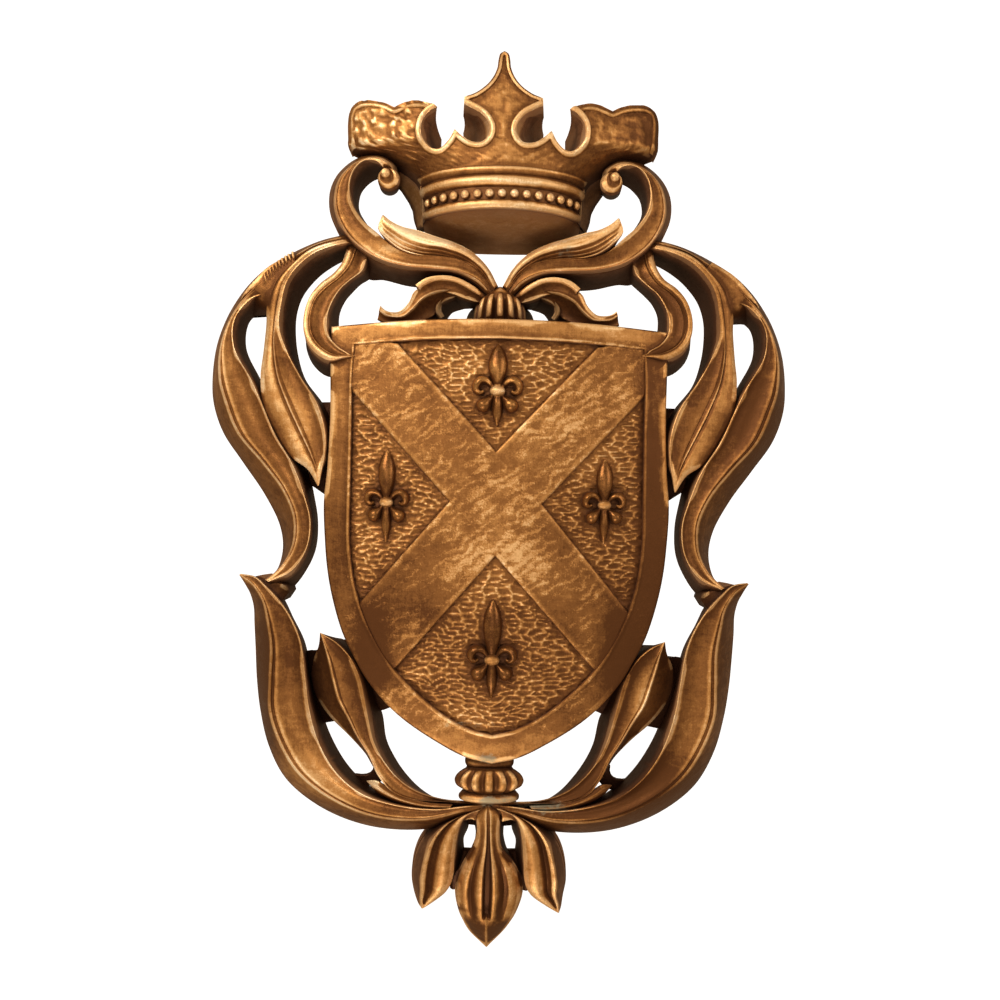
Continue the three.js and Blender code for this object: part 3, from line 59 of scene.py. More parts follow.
# --------------------------------------------------------------- stations --
# each leaf or scroll: foot of the outer wall, outer edge, ridge, inner edge,
# foot of the inner wall: [x, z, h]
RIBBONS = {
    "long_leaf": {"sides": 2, "panels": ["flank", "blade"], "shift": [[1.5, 0], [1, 0], [0, 0], [1, 0.5], [2, 0.5], [1, 0], [0, 0]], "stations": [
        [[-172.3, -67, 0], [-176, -54.7, 36], [-175.5, -54.5, 36.5], [-174.7, -53.9, 37], [-170.9, -65.5, 0]],
        [[-170.9, -71.3, 0], [-173.2, -62.5, 30], [-168.6, -58.7, 36.5], [-164.3, -55.9, 37.5], [-165, -68.4, 0]],
        [[-173.7, -70.4, 0], [-172.6, -69.8, 20], [-163.7, -63.8, 37], [-157.3, -61.7, 38], [-157, -70.6, 0]],
        [[-172.7, -80.3, 0], [-172, -79.9, 13], [-158.6, -72.8, 37], [-150.4, -68.5, 38], [-152.7, -75.7, 0]],
        [[-172.3, -91.8, 0], [-171.6, -91.5, 12], [-155.5, -85.1, 37], [-141.2, -80.2, 38], [-146.5, -88.1, 0]],
        [[-171.2, -108.8, 0], [-170.5, -108.6, 12], [-152.7, -103, 37], [-132.6, -98.7, 38], [-137.7, -105.6, 0]],
        [[-169.8, -131.6, 0], [-169.1, -131.5, 12], [-153.2, -126.3, 37], [-128.5, -125.4, 38], [-131.6, -132.5, 0]],
        [[-166.9, -153.7, 0], [-166.2, -153.6, 12], [-153.1, -146.9, 37], [-125.7, -145.3, 38], [-125.7, -152.2, 0]],
        [[-160.5, -178.8, 0], [-159.8, -178.6, 12], [-145.9, -168.2, 37], [-118.9, -167.9, 38], [-117, -174.7, 0]],
        [[-147.6, -202.4, 0], [-146.9, -202.2, 12], [-133, -189.4, 36], [-106.6, -188.4, 38], [-105.3, -194, 0]],
        [[-121.8, -222.6, 0], [-121.2, -222.2, 12], [-110.4, -206.6, 36], [-89.6, -202.8, 37], [-91.5, -207.5, 0]],
        [[-88.8, -234.9, 0], [-88.3, -234.4, 12], [-81.6, -218.6, 35], [-66.5, -211.1, 35], [-70.4, -219.1, 0]],
        [[-52.1, -236.8, 0], [-51.7, -236.1, 14], [-48, -221.1, 34], [-39.1, -214.5, 33], [-41.3, -222.8, 0]],
        [[-20.5, -229.1, 0], [-20.2, -227.9, 20], [-18.3, -215.2, 33], [-15.6, -211.8, 33], [-16.5, -223.5, 0]],
        [[-2, -230, 0], [1, -217.3, 26], [1.4, -212.6, 32.5], [1.4, -210.5, 32.5], [-2, -223.5, 0]],
    ]},
    "short_leaf": {"sides": 2, "panels": ["hollow", "face"], "shift": [[2, -2], [1, 0], [2, 0], [3.5, 0], [3, 0], [0.5, 0], [0, 0]], "stations": [
        [[-119.2, -110.7, 0], [-119.3, -92.9, 38], [-119, -93.2, 38], [-118.5, -93.5, 38], [-115.5, -102.6, 0]],
        [[-120.6, -117.2, 0], [-122.5, -104.6, 27], [-115.9, -104.6, 35.5], [-107.9, -99.7, 38], [-109.7, -103.4, 0]],
        [[-128.3, -115.6, 0], [-127, -115.3, 22], [-113.2, -113.5, 35.5], [-98.5, -108.8, 39], [-96.6, -116.5, 0]],
        [[-129.3, -129.3, 0], [-128.1, -129.1, 20], [-110, -125.8, 36], [-91.3, -123.1, 39], [-89.3, -131, 0]],
        [[-125.1, -142.3, 0], [-123.9, -142.2, 20], [-105.7, -139.3, 37], [-87.6, -138.2, 39], [-85, -145.6, 0]],
        [[-115.8, -155.1, 0], [-114.5, -155, 21], [-99.2, -151.3, 37], [-84.6, -153.5, 38], [-80.2, -157.2, 0]],
        [[-102.2, -167.3, 0], [-100.8, -167.3, 23], [-92.8, -164.3, 36], [-81, -167.8, 37], [-77, -175.4, 0]],
        [[-90.1, -179.5, 0], [-88.6, -179.5, 25], [-84.4, -178, 35], [-75.3, -179.1, 36], [-71.1, -187.8, 0]],
        [[-84.5, -187.7, 0], [-83, -188, 26], [-78.3, -191.7, 34], [-65.1, -192.1, 35], [-62.4, -200.2, 0]],
        [[-70.4, -213.3, 0], [-72.9, -200.2, 27], [-68, -202.9, 33.5], [-52, -201.2, 34.5], [-50.7, -211.5, 0]],
        [[-54.4, -220.6, 0], [-57.5, -208.9, 28], [-52.9, -208, 33], [-34.8, -206.9, 34], [-36.9, -218.8, 0]],
        [[-28.9, -224.2, 0], [-27.6, -213.1, 28], [-25.9, -209.3, 33], [-18.3, -208.6, 33], [-19.4, -219.9, 0]],
        [[-2, -227.1, 0], [1, -215.2, 26], [1.4, -211.2, 32.5], [1.4, -209.5, 32.5], [-2, -222.8, 0]],
    ]},
    "leaf_spur": {"sides": 2, "panels": ["flank", "face"], "shift": [[3, 0], [2, 0], [0, 0]], "stations": [
        [[-83.5, -212.2, 0], [-86.8, -196.5, 30], [-86.5, -196.3, 30.5], [-86.3, -196.5, 30], [-82.8, -211.1, 0]],
        [[-80.6, -216.9, 0], [-83.1, -201.7, 29], [-81.1, -198.1, 33.5], [-79.4, -196.2, 31], [-79.9, -214.4, 0]],
        [[-74, -221.7, 0], [-76.9, -206.7, 29], [-74.1, -202.3, 34.5], [-72, -200, 32], [-72.6, -218.4, 0]],
        [[-63.1, -225, 0], [-65.7, -211.7, 29], [-63.5, -207.6, 34], [-60.9, -205.5, 32], [-61.7, -221.3, 0]],
        [[-47.8, -227.1, 0], [-49.8, -215.2, 29], [-48, -211.6, 33.5], [-45.3, -210, 32], [-46.4, -222.8, 0]],
        [[-28.2, -227.9, 0], [-28.9, -215.9, 29], [-28, -212.8, 33], [-26.7, -211.4, 32], [-27.4, -223.5, 0]],
    ]},
    "outer_strand": {"sides": 2, "panels": ["flank", "blade"], "shift": [[0, 0]], "stations": [
        [[-101.5, 185.4, 0], [-100.7, 183.9, 28], [-99.7, 181.9, 30], [-99, 180.5, 30], [-98.2, 178.9, 0]],
        [[-110.4, 183.7, 0], [-110.1, 181.9, 30], [-109, 178.7, 36], [-109, 176.3, 36], [-108.6, 174.2, 0]],
        [[-128.1, 181, 0], [-128.4, 179.7, 22], [-127.2, 173.2, 36], [-130.5, 170.1, 35], [-130.9, 168, 0]],
        [[-149.9, 172.7, 0], [-149.3, 171.9, 17], [-144, 163.6, 36], [-140.8, 159.1, 35], [-139.6, 157.4, 0]],
        [[-167, 163.3, 0], [-166.4, 162.7, 14], [-157.8, 153.3, 36], [-151.2, 147.4, 35], [-149.7, 145.9, 0]],
        [[-178.7, 152.7, 0], [-178.1, 152.3, 13], [-168.1, 143.7, 36], [-160.1, 140.1, 35], [-158.4, 138.9, 0]],
        [[-187.3, 141.5, 0], [-186.6, 141.2, 13], [-176.5, 134.9, 35.5], [-171.1, 135.7, 35], [-169.1, 135, 0]],
        [[-196.2, 126, 0], [-195.5, 125.8, 12], [-185.6, 121.2, 35], [-182.5, 121.2, 35], [-181.8, 126.7, 0]],
        [[-203, 105.8, 0], [-202.3, 105.7, 12], [-191.8, 101.9, 35], [-182.2, 101.7, 36], [-184.3, 107.7, 0]],
        [[-205.5, 83.7, 0], [-204.8, 83.6, 12], [-191.8, 80.4, 36], [-170.5, 80.4, 36], [-174.5, 86.6, 0]],
        [[-204.4, 65.7, 0], [-203.7, 65.7, 12], [-187.7, 65.3, 36], [-163.6, 65.4, 35], [-161.5, 65.4, 0]],
        [[-197.3, 45, 0], [-196.6, 45, 12], [-178.4, 43.3, 36], [-153.2, 42, 35], [-151.1, 41.9, 0]],
        [[-182.6, 23.6, 0], [-181.9, 23.6, 12], [-160.9, 23, 36], [-140.6, 22, 36], [-138.4, 21.9, 0]],
        [[-166.9, 1.4, 0], [-166.2, 1.4, 12], [-146.5, 4.8, 37], [-131.9, 1.4, 38], [-132.6, 0, 0]],
        [[-155.5, -20.8, 0], [-154.8, -20.7, 12], [-138.4, -13.7, 38], [-126.9, -17.1, 39], [-129.6, -18.9, 0]],
        [[-150.5, -45.1, 0], [-152, -37.1, 13], [-138.8, -32.9, 38], [-129.1, -35.9, 40], [-131.2, -39.3, 0]],
        [[-154.8, -58.2, 0], [-154.6, -51.7, 17], [-146, -47.3, 38], [-139.2, -51, 39], [-140.3, -58.2, 0]],
        [[-162.1, -66.2, 0], [-159, -57.8, 34], [-157.4, -58.1, 36], [-155.7, -59.1, 36], [-153, -73.5, 0]],
    ]},
    "inner_strand": {"sides": 2, "panels": ["roll", "face"], "shift": [[0, 0]], "stations": [
        [[-99.9, 181.7, 0], [-99.1, 180.1, 29], [-98.3, 178.4, 30], [-97.6, 177, 30], [-96.8, 175.4, 0]],
        [[-107.7, 179.6, 0], [-107.6, 177.4, 36], [-107.4, 175.7, 37], [-107.4, 174.3, 37], [-110.4, 173.3, 0]],
        [[-132.2, 171.1, 0], [-130.1, 170.2, 37], [-127.8, 169, 38], [-126, 168.5, 37], [-127.9, 163.4, 0]],
        [[-145.4, 160.5, 0], [-143.2, 160.1, 36.5], [-140.1, 159.7, 38], [-138.3, 159.2, 37], [-138.8, 152.5, 0]],
        [[-155.8, 148.8, 0], [-153.7, 148.5, 36], [-148.4, 148, 38], [-146.5, 147.6, 37], [-144.3, 143.8, 0]],
        [[-162.4, 136.4, 0], [-160.4, 135.9, 34], [-151.9, 133.7, 37.5], [-150, 133.5, 37], [-147.6, 133.2, 0]],
        [[-163.5, 117.5, 0], [-161.5, 117.4, 33], [-154.4, 116.7, 37], [-151.5, 116.8, 36.5], [-148.4, 120.8, 0]],
        [[-165.1, 99.2, 0], [-163.1, 99.5, 33], [-154.7, 101.7, 36.5], [-147, 101.9, 35], [-146.5, 103.4, 0]],
        [[-166.8, 82.8, 0], [-164.8, 82.9, 33], [-151.5, 82.4, 36.5], [-137.2, 83.9, 36], [-140.7, 85.2, 0]],
        [[-164.7, 62.9, 0], [-162.7, 62.9, 33], [-143.6, 62.5, 36.5], [-123.7, 63, 38], [-127.2, 67, 0]],
        [[-157.3, 45.8, 0], [-155.4, 45.7, 32], [-135.3, 45.3, 36.5], [-118, 43.8, 39], [-115.7, 43.7, 0]],
        [[-143.8, 26.5, 0], [-141.8, 26.6, 34], [-127.6, 29.5, 37.5], [-118, 28, 39], [-115.7, 28.1, 0]],
        [[-135.2, 20.4, 0], [-130.3, 18.6, 36], [-124, 19.5, 38], [-119.9, 18.5, 39], [-125.7, 18.9, 0]],
        [[-134.5, 16.7, 0], [-122.9, 7.2, 37], [-122.5, 7.7, 38], [-122, 7.5, 38], [-127.2, 16, 0]],
    ]},
    "corner_scroll": {"sides": 2, "panels": ["rib", "face"], "shift": [[2, 2], [2.6, 0], [2.5, 1.5], [2.2, 3.5], [1, 5], [1, 3.5]], "stations": [
        [[-108.3, 178.1, 0], [-106.8, 177.3, 29], [-100.3, 174.3, 30], [-92, 169.4, 30], [-93, 160.9, 0]],
        [[-111.4, 164.1, 0], [-109.7, 163.3, 32], [-104.6, 160.5, 33.5], [-95.7, 156.8, 33], [-96.6, 158, 0]],
        [[-117.4, 155.3, 0], [-115.5, 154.5, 34], [-111.2, 151.5, 35], [-103.6, 149.4, 35], [-101.7, 154.8, 0]],
        [[-126.2, 147.3, 0], [-124.1, 146.8, 36], [-119.9, 143.9, 36.5], [-109.7, 143.3, 36], [-107.9, 148.5, 0]],
        [[-133.2, 136.9, 0], [-130.9, 136.7, 38], [-126.8, 135, 38], [-114.4, 135, 38], [-113, 142, 0]],
        [[-136.7, 123, 0], [-134.4, 123.1, 39], [-130, 122.8, 39], [-118, 123.8, 39], [-117, 131, 0]],
        [[-141, 112.8, 0], [-133, 109.8, 41], [-128.2, 111.1, 41], [-117, 111.2, 40.5], [-114.6, 111.4, 0]],
        [[-137, 98.3, 0], [-126.6, 99, 42], [-122.1, 102.4, 42.5], [-110.6, 103.1, 42], [-108.2, 103.7, 0]],
        [[-127.2, 88.5, 0], [-115.2, 92.6, 43], [-112.1, 96.8, 43], [-103.6, 98.5, 43], [-101.3, 99.7, 0]],
        [[-117.7, 86.6, 0], [-105.7, 94.5, 43], [-104.3, 96, 43], [-101.2, 97, 43], [-98.9, 98.3, 0]],
        [[-110.4, 87.4, 0], [-98.7, 96, 42], [-98.4, 96.3, 42], [-98.4, 96.7, 42], [-96.2, 97.9, 0]],
    ]},
    "crest_scroll": {"sides": 2, "panels": ["edge", "crestface"], "shift": [[0, 0], [0, 0], [0, -0.5], [2, -0.5], [3.2, -1], [3, -1], [3.5, 0], [4, 0]], "stations": [
        [[-8.5, 137.3, 0], [-7.3, 138.9, 33], [-5.8, 140, 37], [-3.8, 143.5, 37], [-2.5, 145.3, 0]],
        [[-18.5, 146.6, 0], [-16.9, 147.9, 34], [-14.7, 149.5, 39], [-9.2, 154.3, 39], [-7.4, 155.8, 0]],
        [[-32.2, 153.1, 0], [-30.7, 154.5, 34], [-29, 155.6, 40.5], [-22.2, 162.2, 40], [-20.4, 163.8, 0]],
        [[-50, 152.9, 0], [-49.3, 156.6, 34], [-48.1, 157.2, 41], [-39.9, 166, 40], [-38.2, 167.7, 0]],
        [[-67.5, 154.3, 0], [-68.1, 157.9, 33], [-66.5, 158.7, 41], [-57.6, 166, 41], [-55.7, 167.5, 0]],
        [[-85, 158.3, 0], [-86.2, 163.3, 32], [-83.5, 163.3, 41], [-72.6, 171.1, 41], [-70.5, 172.3, 0]],
        [[-96.6, 159.1, 0], [-102.1, 173.8, 28], [-98.2, 172.2, 41], [-85.4, 181.1, 42], [-83.1, 182.1, 0]],
        [[-116.2, 186.7, 0], [-115.1, 186.8, 18], [-107.4, 182.4, 41], [-94.9, 189.2, 42], [-98.4, 199.5, 0]],
        [[-123.7, 203.7, 0], [-123, 203.6, 12], [-113.3, 195.9, 40.5], [-101.8, 199.5, 42], [-103.9, 209.7, 0]],
        [[-124.1, 218.2, 0], [-123.4, 217.9, 12], [-113.7, 208, 40], [-104, 209.7, 42], [-102.8, 220.6, 0]],
        [[-119.9, 228.7, 0], [-119.2, 228.3, 13], [-110.9, 217, 40.5], [-102.8, 219.2, 42], [-98.8, 226.4, 0]],
        [[-112.4, 235.8, 0], [-111.6, 235.2, 16], [-105, 224.3, 41], [-98.9, 225.8, 42.5], [-95.2, 229.5, 0]],
        [[-102.5, 239.8, 0], [-101.7, 238.8, 22], [-97.3, 229.1, 42], [-93.8, 229.2, 43], [-91.5, 231.5, 0]],
        [[-91.4, 240.1, 0], [-90.9, 238.5, 28], [-88.6, 230.5, 43.5], [-88.2, 229.3, 44], [-88.6, 232.2, 0]],
        [[-80.7, 237.1, 0], [-81.2, 235.2, 33], [-80.9, 228.6, 45], [-83.6, 226.9, 45], [-85, 233, 0]],
        [[-75.5, 237.3, 0], [-73.3, 228.3, 35], [-75.2, 224.3, 42], [-80.8, 223, 41], [-82.8, 233, 0]],
        [[-76.2, 233, 0], [-72.5, 222.1, 36], [-76.5, 219.6, 40], [-83.8, 218.9, 39], [-82.8, 232.2, 0]],
        [[-77.7, 230.8, 0], [-73, 218.7, 32], [-76.4, 218, 33], [-83.4, 218, 32], [-82, 230.8, 0]],
    ]},
    "crest_leaf": {"sides": 2, "panels": ["flutes", "roll"], "shift": [[0, 0], [0, 0], [1, 0], [1, 0.7]], "carve": [0.6, 1, 1.1, 1.1, 0.9, 0.6, 0.4, 0.2, 0], "stations": [
        [[-6.6, 141.1, 0], [-5.2, 142.8, 37], [-3.8, 145, 39], [-1.7, 147.1, 36], [-0.3, 148.8, 0]],
        [[-15.6, 151.9, 0], [-14, 153.5, 38], [-10.6, 157.2, 41], [-8.6, 159, 38], [-7, 160.6, 0]],
        [[-28.6, 159.9, 0], [-27, 161.6, 38.5], [-22.7, 166.8, 43], [-19.5, 169.3, 39], [-17.9, 171, 0]],
        [[-43.6, 163.7, 0], [-42, 165.4, 39.5], [-37, 172, 44], [-32.4, 175.5, 40], [-30.7, 177.2, 0]],
        [[-57.8, 164, 0], [-56.2, 165.9, 41.5], [-51.2, 174.7, 44], [-44.7, 179.3, 40], [-43.1, 181.1, 0]],
        [[-69.1, 166.8, 0], [-67.6, 168.9, 43], [-62.7, 178.6, 44.5], [-57.6, 183.1, 41], [-56.2, 185.1, 0]],
        [[-79.3, 173.7, 0], [-77.3, 175.4, 44], [-71.4, 182.6, 45], [-66.9, 184.5, 43], [-65, 186.2, 0]],
        [[-80.6, 192.2, 0], [-83.8, 182.9, 44], [-78.9, 187.3, 45], [-74.9, 187.9, 44], [-72.6, 189.2, 0]],
        [[-79.1, 196.6, 0], [-81.2, 191.3, 44], [-80.6, 191.7, 44.5], [-80, 191.8, 44], [-76.2, 196.6, 0]],
    ]},
    "wing_top": {"sides": 2, "panels": ["roll", "hollow"], "shift": [[0, 0], [2, 0], [3, 0], [3.3, -0.5]], "stations": [
        [[-7.7, 141.9, 0], [-8.7, 140.2, 33], [-10, 137.9, 34], [-11.4, 135.6, 32], [-12.2, 139, 0]],
        [[-17.1, 148.6, 0], [-18.2, 146.7, 36.5], [-19.6, 143.8, 37], [-23.2, 138.4, 32], [-22.4, 138.7, 0]],
        [[-30.4, 154.6, 0], [-31.2, 152.5, 38], [-31.9, 149.4, 38], [-34.9, 142.4, 32.5], [-31.8, 137.6, 0]],
        [[-42.9, 155.3, 0], [-42.8, 153, 39], [-42.8, 149.9, 38.5], [-42.5, 142.3, 33], [-37.6, 134, 0]],
        [[-52.9, 152.9, 0], [-52, 150.7, 39], [-50.3, 147.2, 38.5], [-48, 140.7, 34], [-47.2, 138.8, 0]],
        [[-59.6, 148.4, 0], [-58.2, 146.6, 38], [-55.8, 143.9, 38], [-52, 138.4, 35], [-50.7, 136.7, 0]],
    ]},
    "wing_tip": {"sides": 2, "panels": ["face", "hollow"], "shift": [[3, 0], [3, 0], [2.5, 0], [2, -1]], "stations": [
        [[-31.2, 150.1, 0], [-30.9, 148.3, 31], [-30.8, 145.3, 32], [-29.6, 141.2, 29], [-25.3, 138.7, 0]],
        [[-46.8, 149.3, 0], [-45.8, 147.4, 35], [-44.4, 142.3, 36], [-40.1, 136.5, 28], [-34.7, 135.4, 0]],
        [[-60.2, 144.5, 0], [-58.7, 142.9, 36.5], [-53.9, 137.3, 37], [-45.7, 128.4, 27], [-39.1, 130.3, 0]],
        [[-64.2, 136.2, 0], [-62.8, 134.5, 37], [-60, 130.3, 37.5], [-53.9, 123.8, 29], [-48.6, 126.7, 0]],
        [[-70.5, 130.1, 0], [-69, 128.4, 37], [-66.9, 124.9, 37], [-62.6, 121.1, 32], [-61.3, 119.7, 0]],
        [[-74, 128.1, 0], [-75.1, 127.7, 37.5], [-74.4, 124.5, 37.5], [-72.1, 120.7, 34], [-71.3, 118.8, 0]],
        [[-76.2, 128.1, 0], [-79.1, 129, 38], [-78.8, 125.7, 38], [-78.9, 120.5, 35], [-77.7, 123.8, 0]],
        [[-77, 128.1, 0], [-82, 131.6, 38.5], [-82.9, 128.8, 38], [-84.2, 122.4, 36], [-79.1, 123.8, 0]],
    ]},
    "wing_hook": {"sides": 2, "panels": ["rib", "flat"], "shift": [[3, 0], [3, 0]], "stations": [
        [[-43.7, 140.1, 0], [-42.2, 139.5, 27], [-41, 138.5, 30], [-39.5, 138.5, 27], [-38, 137.9, 0]],
        [[-47, 135.5, 0], [-45.4, 135.3, 27], [-43.4, 134.2, 30.5], [-40.9, 134.6, 27], [-39.3, 134.4, 0]],
        [[-47, 130.3, 0], [-45.4, 130.5, 27], [-43.4, 129.7, 30.5], [-40.9, 131.2, 27], [-39.3, 131.4, 0]],
        [[-43.6, 124.7, 0], [-42.2, 125.6, 27], [-40.7, 125.8, 29.5], [-38.8, 127.7, 27], [-37.4, 128.6, 0]],
    ]},
    "eye_web": {"sides": 2, "panels": ["flat", "flat"], "shift": [[0, 0]], "stations": [
        [[-147.2, 168.4, 0], [-145.9, 166.9, 34], [-143.4, 163.6, 36], [-140.5, 160.7, 36.5], [-139.1, 159, 0]],
        [[-162.8, 158.5, 0], [-161.4, 156.9, 35.5], [-157, 151.9, 36.3], [-151.5, 145.6, 36.5], [-150.1, 144, 0]],
        [[-172.1, 148.4, 0], [-170.3, 147.2, 35.5], [-164.7, 143.7, 36], [-157.1, 138.2, 36], [-155.3, 137, 0]],
        [[-177.9, 141.3, 0], [-176, 140.5, 35], [-169.3, 138.6, 34], [-158.7, 132.9, 35], [-156.8, 132.1, 0]],
        [[-182.2, 134.7, 0], [-180.3, 134.2, 32], [-173.8, 134.5, 23], [-161.4, 129.1, 30], [-159.7, 128.6, 0]],
        [[-182.5, 130.3, 0], [-184.1, 128.3, 24], [-177.1, 130.8, 10], [-164.6, 128.1, 18], [-169.4, 132.1, 0]],
    ]},
    "fill_leaves": {"sides": 2, "panels": ["flat", "flat"], "shift": [[0, 0]], "stations": [
        [[-137.6, -112.3, 0], [-137.6, -112.3, 9], [-130, -109.6, 11], [-122.2, -110.8, 14], [-122.2, -110.8, 0]],
        [[-137.6, -120.6, 0], [-137.6, -120.6, 9], [-131.2, -120.8, 12], [-122.6, -119.3, 16], [-122.6, -119.3, 0]],
        [[-136.6, -138.3, 0], [-136.6, -138.3, 7], [-130.4, -139.3, 9], [-118.9, -137, 13], [-118.9, -137, 0]],
        [[-134.1, -153.1, 0], [-134.1, -153.1, 5], [-126, -155.8, 6], [-111.2, -152.4, 8], [-111.2, -152.4, 0]],
        [[-131.4, -160.6, 0], [-131.4, -160.6, 4], [-121.3, -163.5, 4], [-106.1, -160.6, 4], [-106.1, -160.6, 0]],
    ]},
    "fill_spur": {"sides": 2, "panels": ["flat", "flat"], "shift": [[0, 0]], "stations": [
        [[-99, -200.6, 0], [-99, -200.6, 3.5], [-96.2, -204.3, 3], [-93.2, -208.5, 3.5], [-93.2, -208.5, 0]],
        [[-92.4, -201, 0], [-92.4, -201, 4], [-90.2, -204, 4], [-86.6, -208.4, 4], [-86.6, -208.4, 0]],
        [[-88, -199.3, 0], [-88, -199.3, 4], [-85.1, -201.9, 4], [-80.1, -205.5, 4], [-80.1, -205.5, 0]],
        [[-85.7, -195.7, 0], [-85.7, -195.7, 4], [-83, -197.5, 4], [-77.2, -199.7, 4], [-77.2, -199.7, 0]],
        [[-85.9, -191.2, 0], [-85.9, -191.2, 3.5], [-83.1, -192.8, 3], [-78.7, -194, 3.5], [-78.7, -194, 0]],
    ]},
    "tip_web": {"sides": 2, "panels": ["flat", "flat"], "shift": [[0, 0]], "stations": [
        [[-168.4, -57.3, 0], [-168.4, -57.3, 30], [-165.5, -55.7, 30.5], [-162.8, -56.4, 30], [-162.8, -56.4, 0]],
        [[-162.6, -61.3, 0], [-162.6, -61.3, 31], [-159, -57.8, 30], [-155, -58.9, 28], [-155, -58.9, 0]],
        [[-155.6, -66.2, 0], [-155.6, -66.2, 31], [-151.3, -62.6, 29], [-146.9, -62.1, 27], [-146.9, -62.1, 0]],
        [[-148.7, -73.8, 0], [-148.7, -73.8, 28], [-146.6, -70.5, 24], [-144.6, -67.5, 22], [-144.6, -67.5, 0]],
    ]},
    "fill_shield_low": {"sides": 2, "panels": ["flat", "flat"], "shift": [[0, 0]], "stations": [
        [[-118.5, -103.5, 0], [-118.5, -103.5, 3.5], [-112.8, -104, 3], [-104.8, -103.5, 3.5], [-104.8, -103.5, 0]],
        [[-106, -115.7, 0], [-106, -115.7, 4.5], [-98.8, -117.1, 4.5], [-91.6, -115.7, 4.5], [-91.6, -115.7, 0]],
        [[-97.4, -131.6, 0], [-97.4, -131.6, 4.5], [-88.7, -133, 4.5], [-78.6, -130.1, 4.5], [-78.6, -130.1, 0]],
        [[-91.6, -144.6, 0], [-91.6, -144.6, 4.5], [-82.9, -146, 4.5], [-69.9, -143.1, 4.5], [-69.9, -143.1, 0]],
        [[-85.9, -154.9, 0], [-85.9, -154.9, 3.5], [-78.8, -153.6, 3], [-68.6, -149.2, 3.5], [-68.6, -149.2, 0]],
    ]},
    "fill_shield_mid": {"sides": 2, "panels": ["flat", "flat"], "shift": [[0, 0]], "stations": [
        [[-129.4, 68.8, 0], [-129.4, 68.8, 3.5], [-124, 64.5, 3], [-116.3, 68.8, 3.5], [-116.3, 68.8, 0]],
        [[-132.1, 50.6, 0], [-132.1, 50.6, 4.5], [-124.8, 49.2, 4.5], [-116.2, 50.6, 4.5], [-116.2, 50.6, 0]],
        [[-132.1, 28.9, 0], [-132.1, 28.9, 4.5], [-124.8, 27.5, 4.5], [-116.2, 28.9, 4.5], [-116.2, 28.9, 0]],
        [[-137.9, 15.9, 0], [-137.9, 15.9, 4.5], [-129.2, 13, 4.5], [-117.6, 14.5, 4.5], [-117.6, 14.5, 0]],
        [[-135.9, 8.7, 0], [-135.9, 8.7, 3.5], [-130.9, 6.5, 3], [-122.1, 0, 3.5], [-122.1, 0, 0]],
    ]},
    "drop_leaf_side": {"sides": 2, "panels": ["flank", "drop"], "shift": [[0, 0], [1, 0], [1.3, -1], [1.5, -1], [-2, -1.3]], "stations": [
        [[-9.2, -213.5, 0], [-7.3, -213.5, 31], [-5.2, -212.8, 33], [-3.8, -213.5, 33], [-1.8, -213.5, 0]],
        [[-26.8, -224.5, 0], [-25.7, -223.8, 22], [-21.1, -219, 33.5], [-15.6, -218, 33], [-13.9, -217, 0]],
        [[-40.4, -232.5, 0], [-39.6, -232.2, 15], [-31.5, -225.2, 33], [-20.8, -225.6, 32], [-16.2, -238.1, 0]],
        [[-50.5, -243.8, 0], [-49.8, -243.6, 12], [-40.1, -235.4, 33.5], [-23.2, -235.3, 32], [-19.4, -246.1, 0]],
        [[-55.5, -257.4, 0], [-54.8, -257.2, 12], [-44.8, -248.8, 34.5], [-24.6, -249.1, 32], [-19.1, -254.8, 0]],
        [[-56.5, -270.3, 0], [-55.8, -270.1, 12], [-46.9, -261.2, 34.5], [-25.6, -262.3, 32], [-22.4, -267.9, 0]],
        [[-54.7, -279.4, 0], [-53.9, -279.2, 14], [-47, -271.5, 33], [-29.5, -271.7, 31], [-27.7, -271.2, 0]],
        [[-47.1, -290.5, 0], [-50.5, -285, 20], [-47.2, -278.6, 31], [-38.6, -279.8, 30], [-38.4, -289, 0]],
        [[-44.2, -291.9, 0], [-46.7, -285.8, 28], [-46.3, -284.8, 29], [-45.6, -284.8, 29], [-42.7, -291.9, 0]],
    ]},
    "drop_leaf_mid": {"sides": 1, "panels": ["midleaf", "midleafR"], "shift": [[0, 0]], "carve": [0.25, 0.4, 0.7, 1, 1, 1, 1, 1, 0.6, 0], "groove": [1, 1, 1, 1, 1, 1, 1, 0.1, 0, 0], "gouge": [0, 0, 0, 0.1, 0.6, 1, 0.45, 0, 0, 0], "stations": [
        [[-6.3, -227.1, 0], [-4.5, -211.6, 32.5], [-2.1, -210.6, 34], [0.3, -211.6, 32.5], [2.4, -227.1, 0]],
        [[-12.2, -231.5, 0], [-9.7, -218, 32], [-1.7, -216.6, 35], [5.9, -218, 32], [9, -231.5, 0]],
        [[-10.9, -241.7, 0], [-9.4, -229.9, 31.5], [-1.4, -228.6, 35], [6.2, -229.9, 31.5], [9.4, -243.2, 0]],
        [[-12.5, -251.9, 0], [-12.5, -240.2, 31], [-1, -238.8, 35.5], [7.6, -240.2, 31], [11.9, -252.6, 0]],
        [[-17.3, -260.6, 0], [-20.2, -255.2, 29], [-1.4, -252.3, 36], [18.4, -254.5, 29], [17, -260.6, 0]],
        [[-20.9, -275.2, 0], [-24.1, -271.4, 27], [-1.5, -267.4, 36], [23.3, -271.4, 27], [20.6, -275.2, 0]],
        [[-23, -287.2, 0], [-21.4, -287.2, 26], [-1.7, -283.5, 35.5], [19.2, -287.2, 26], [20.8, -287.2, 0]],
        [[-19.7, -294.4, 0], [-18.2, -294.4, 25.5], [-1.7, -286.5, 41.5], [15.3, -294.4, 25.5], [16.8, -294.4, 0]],
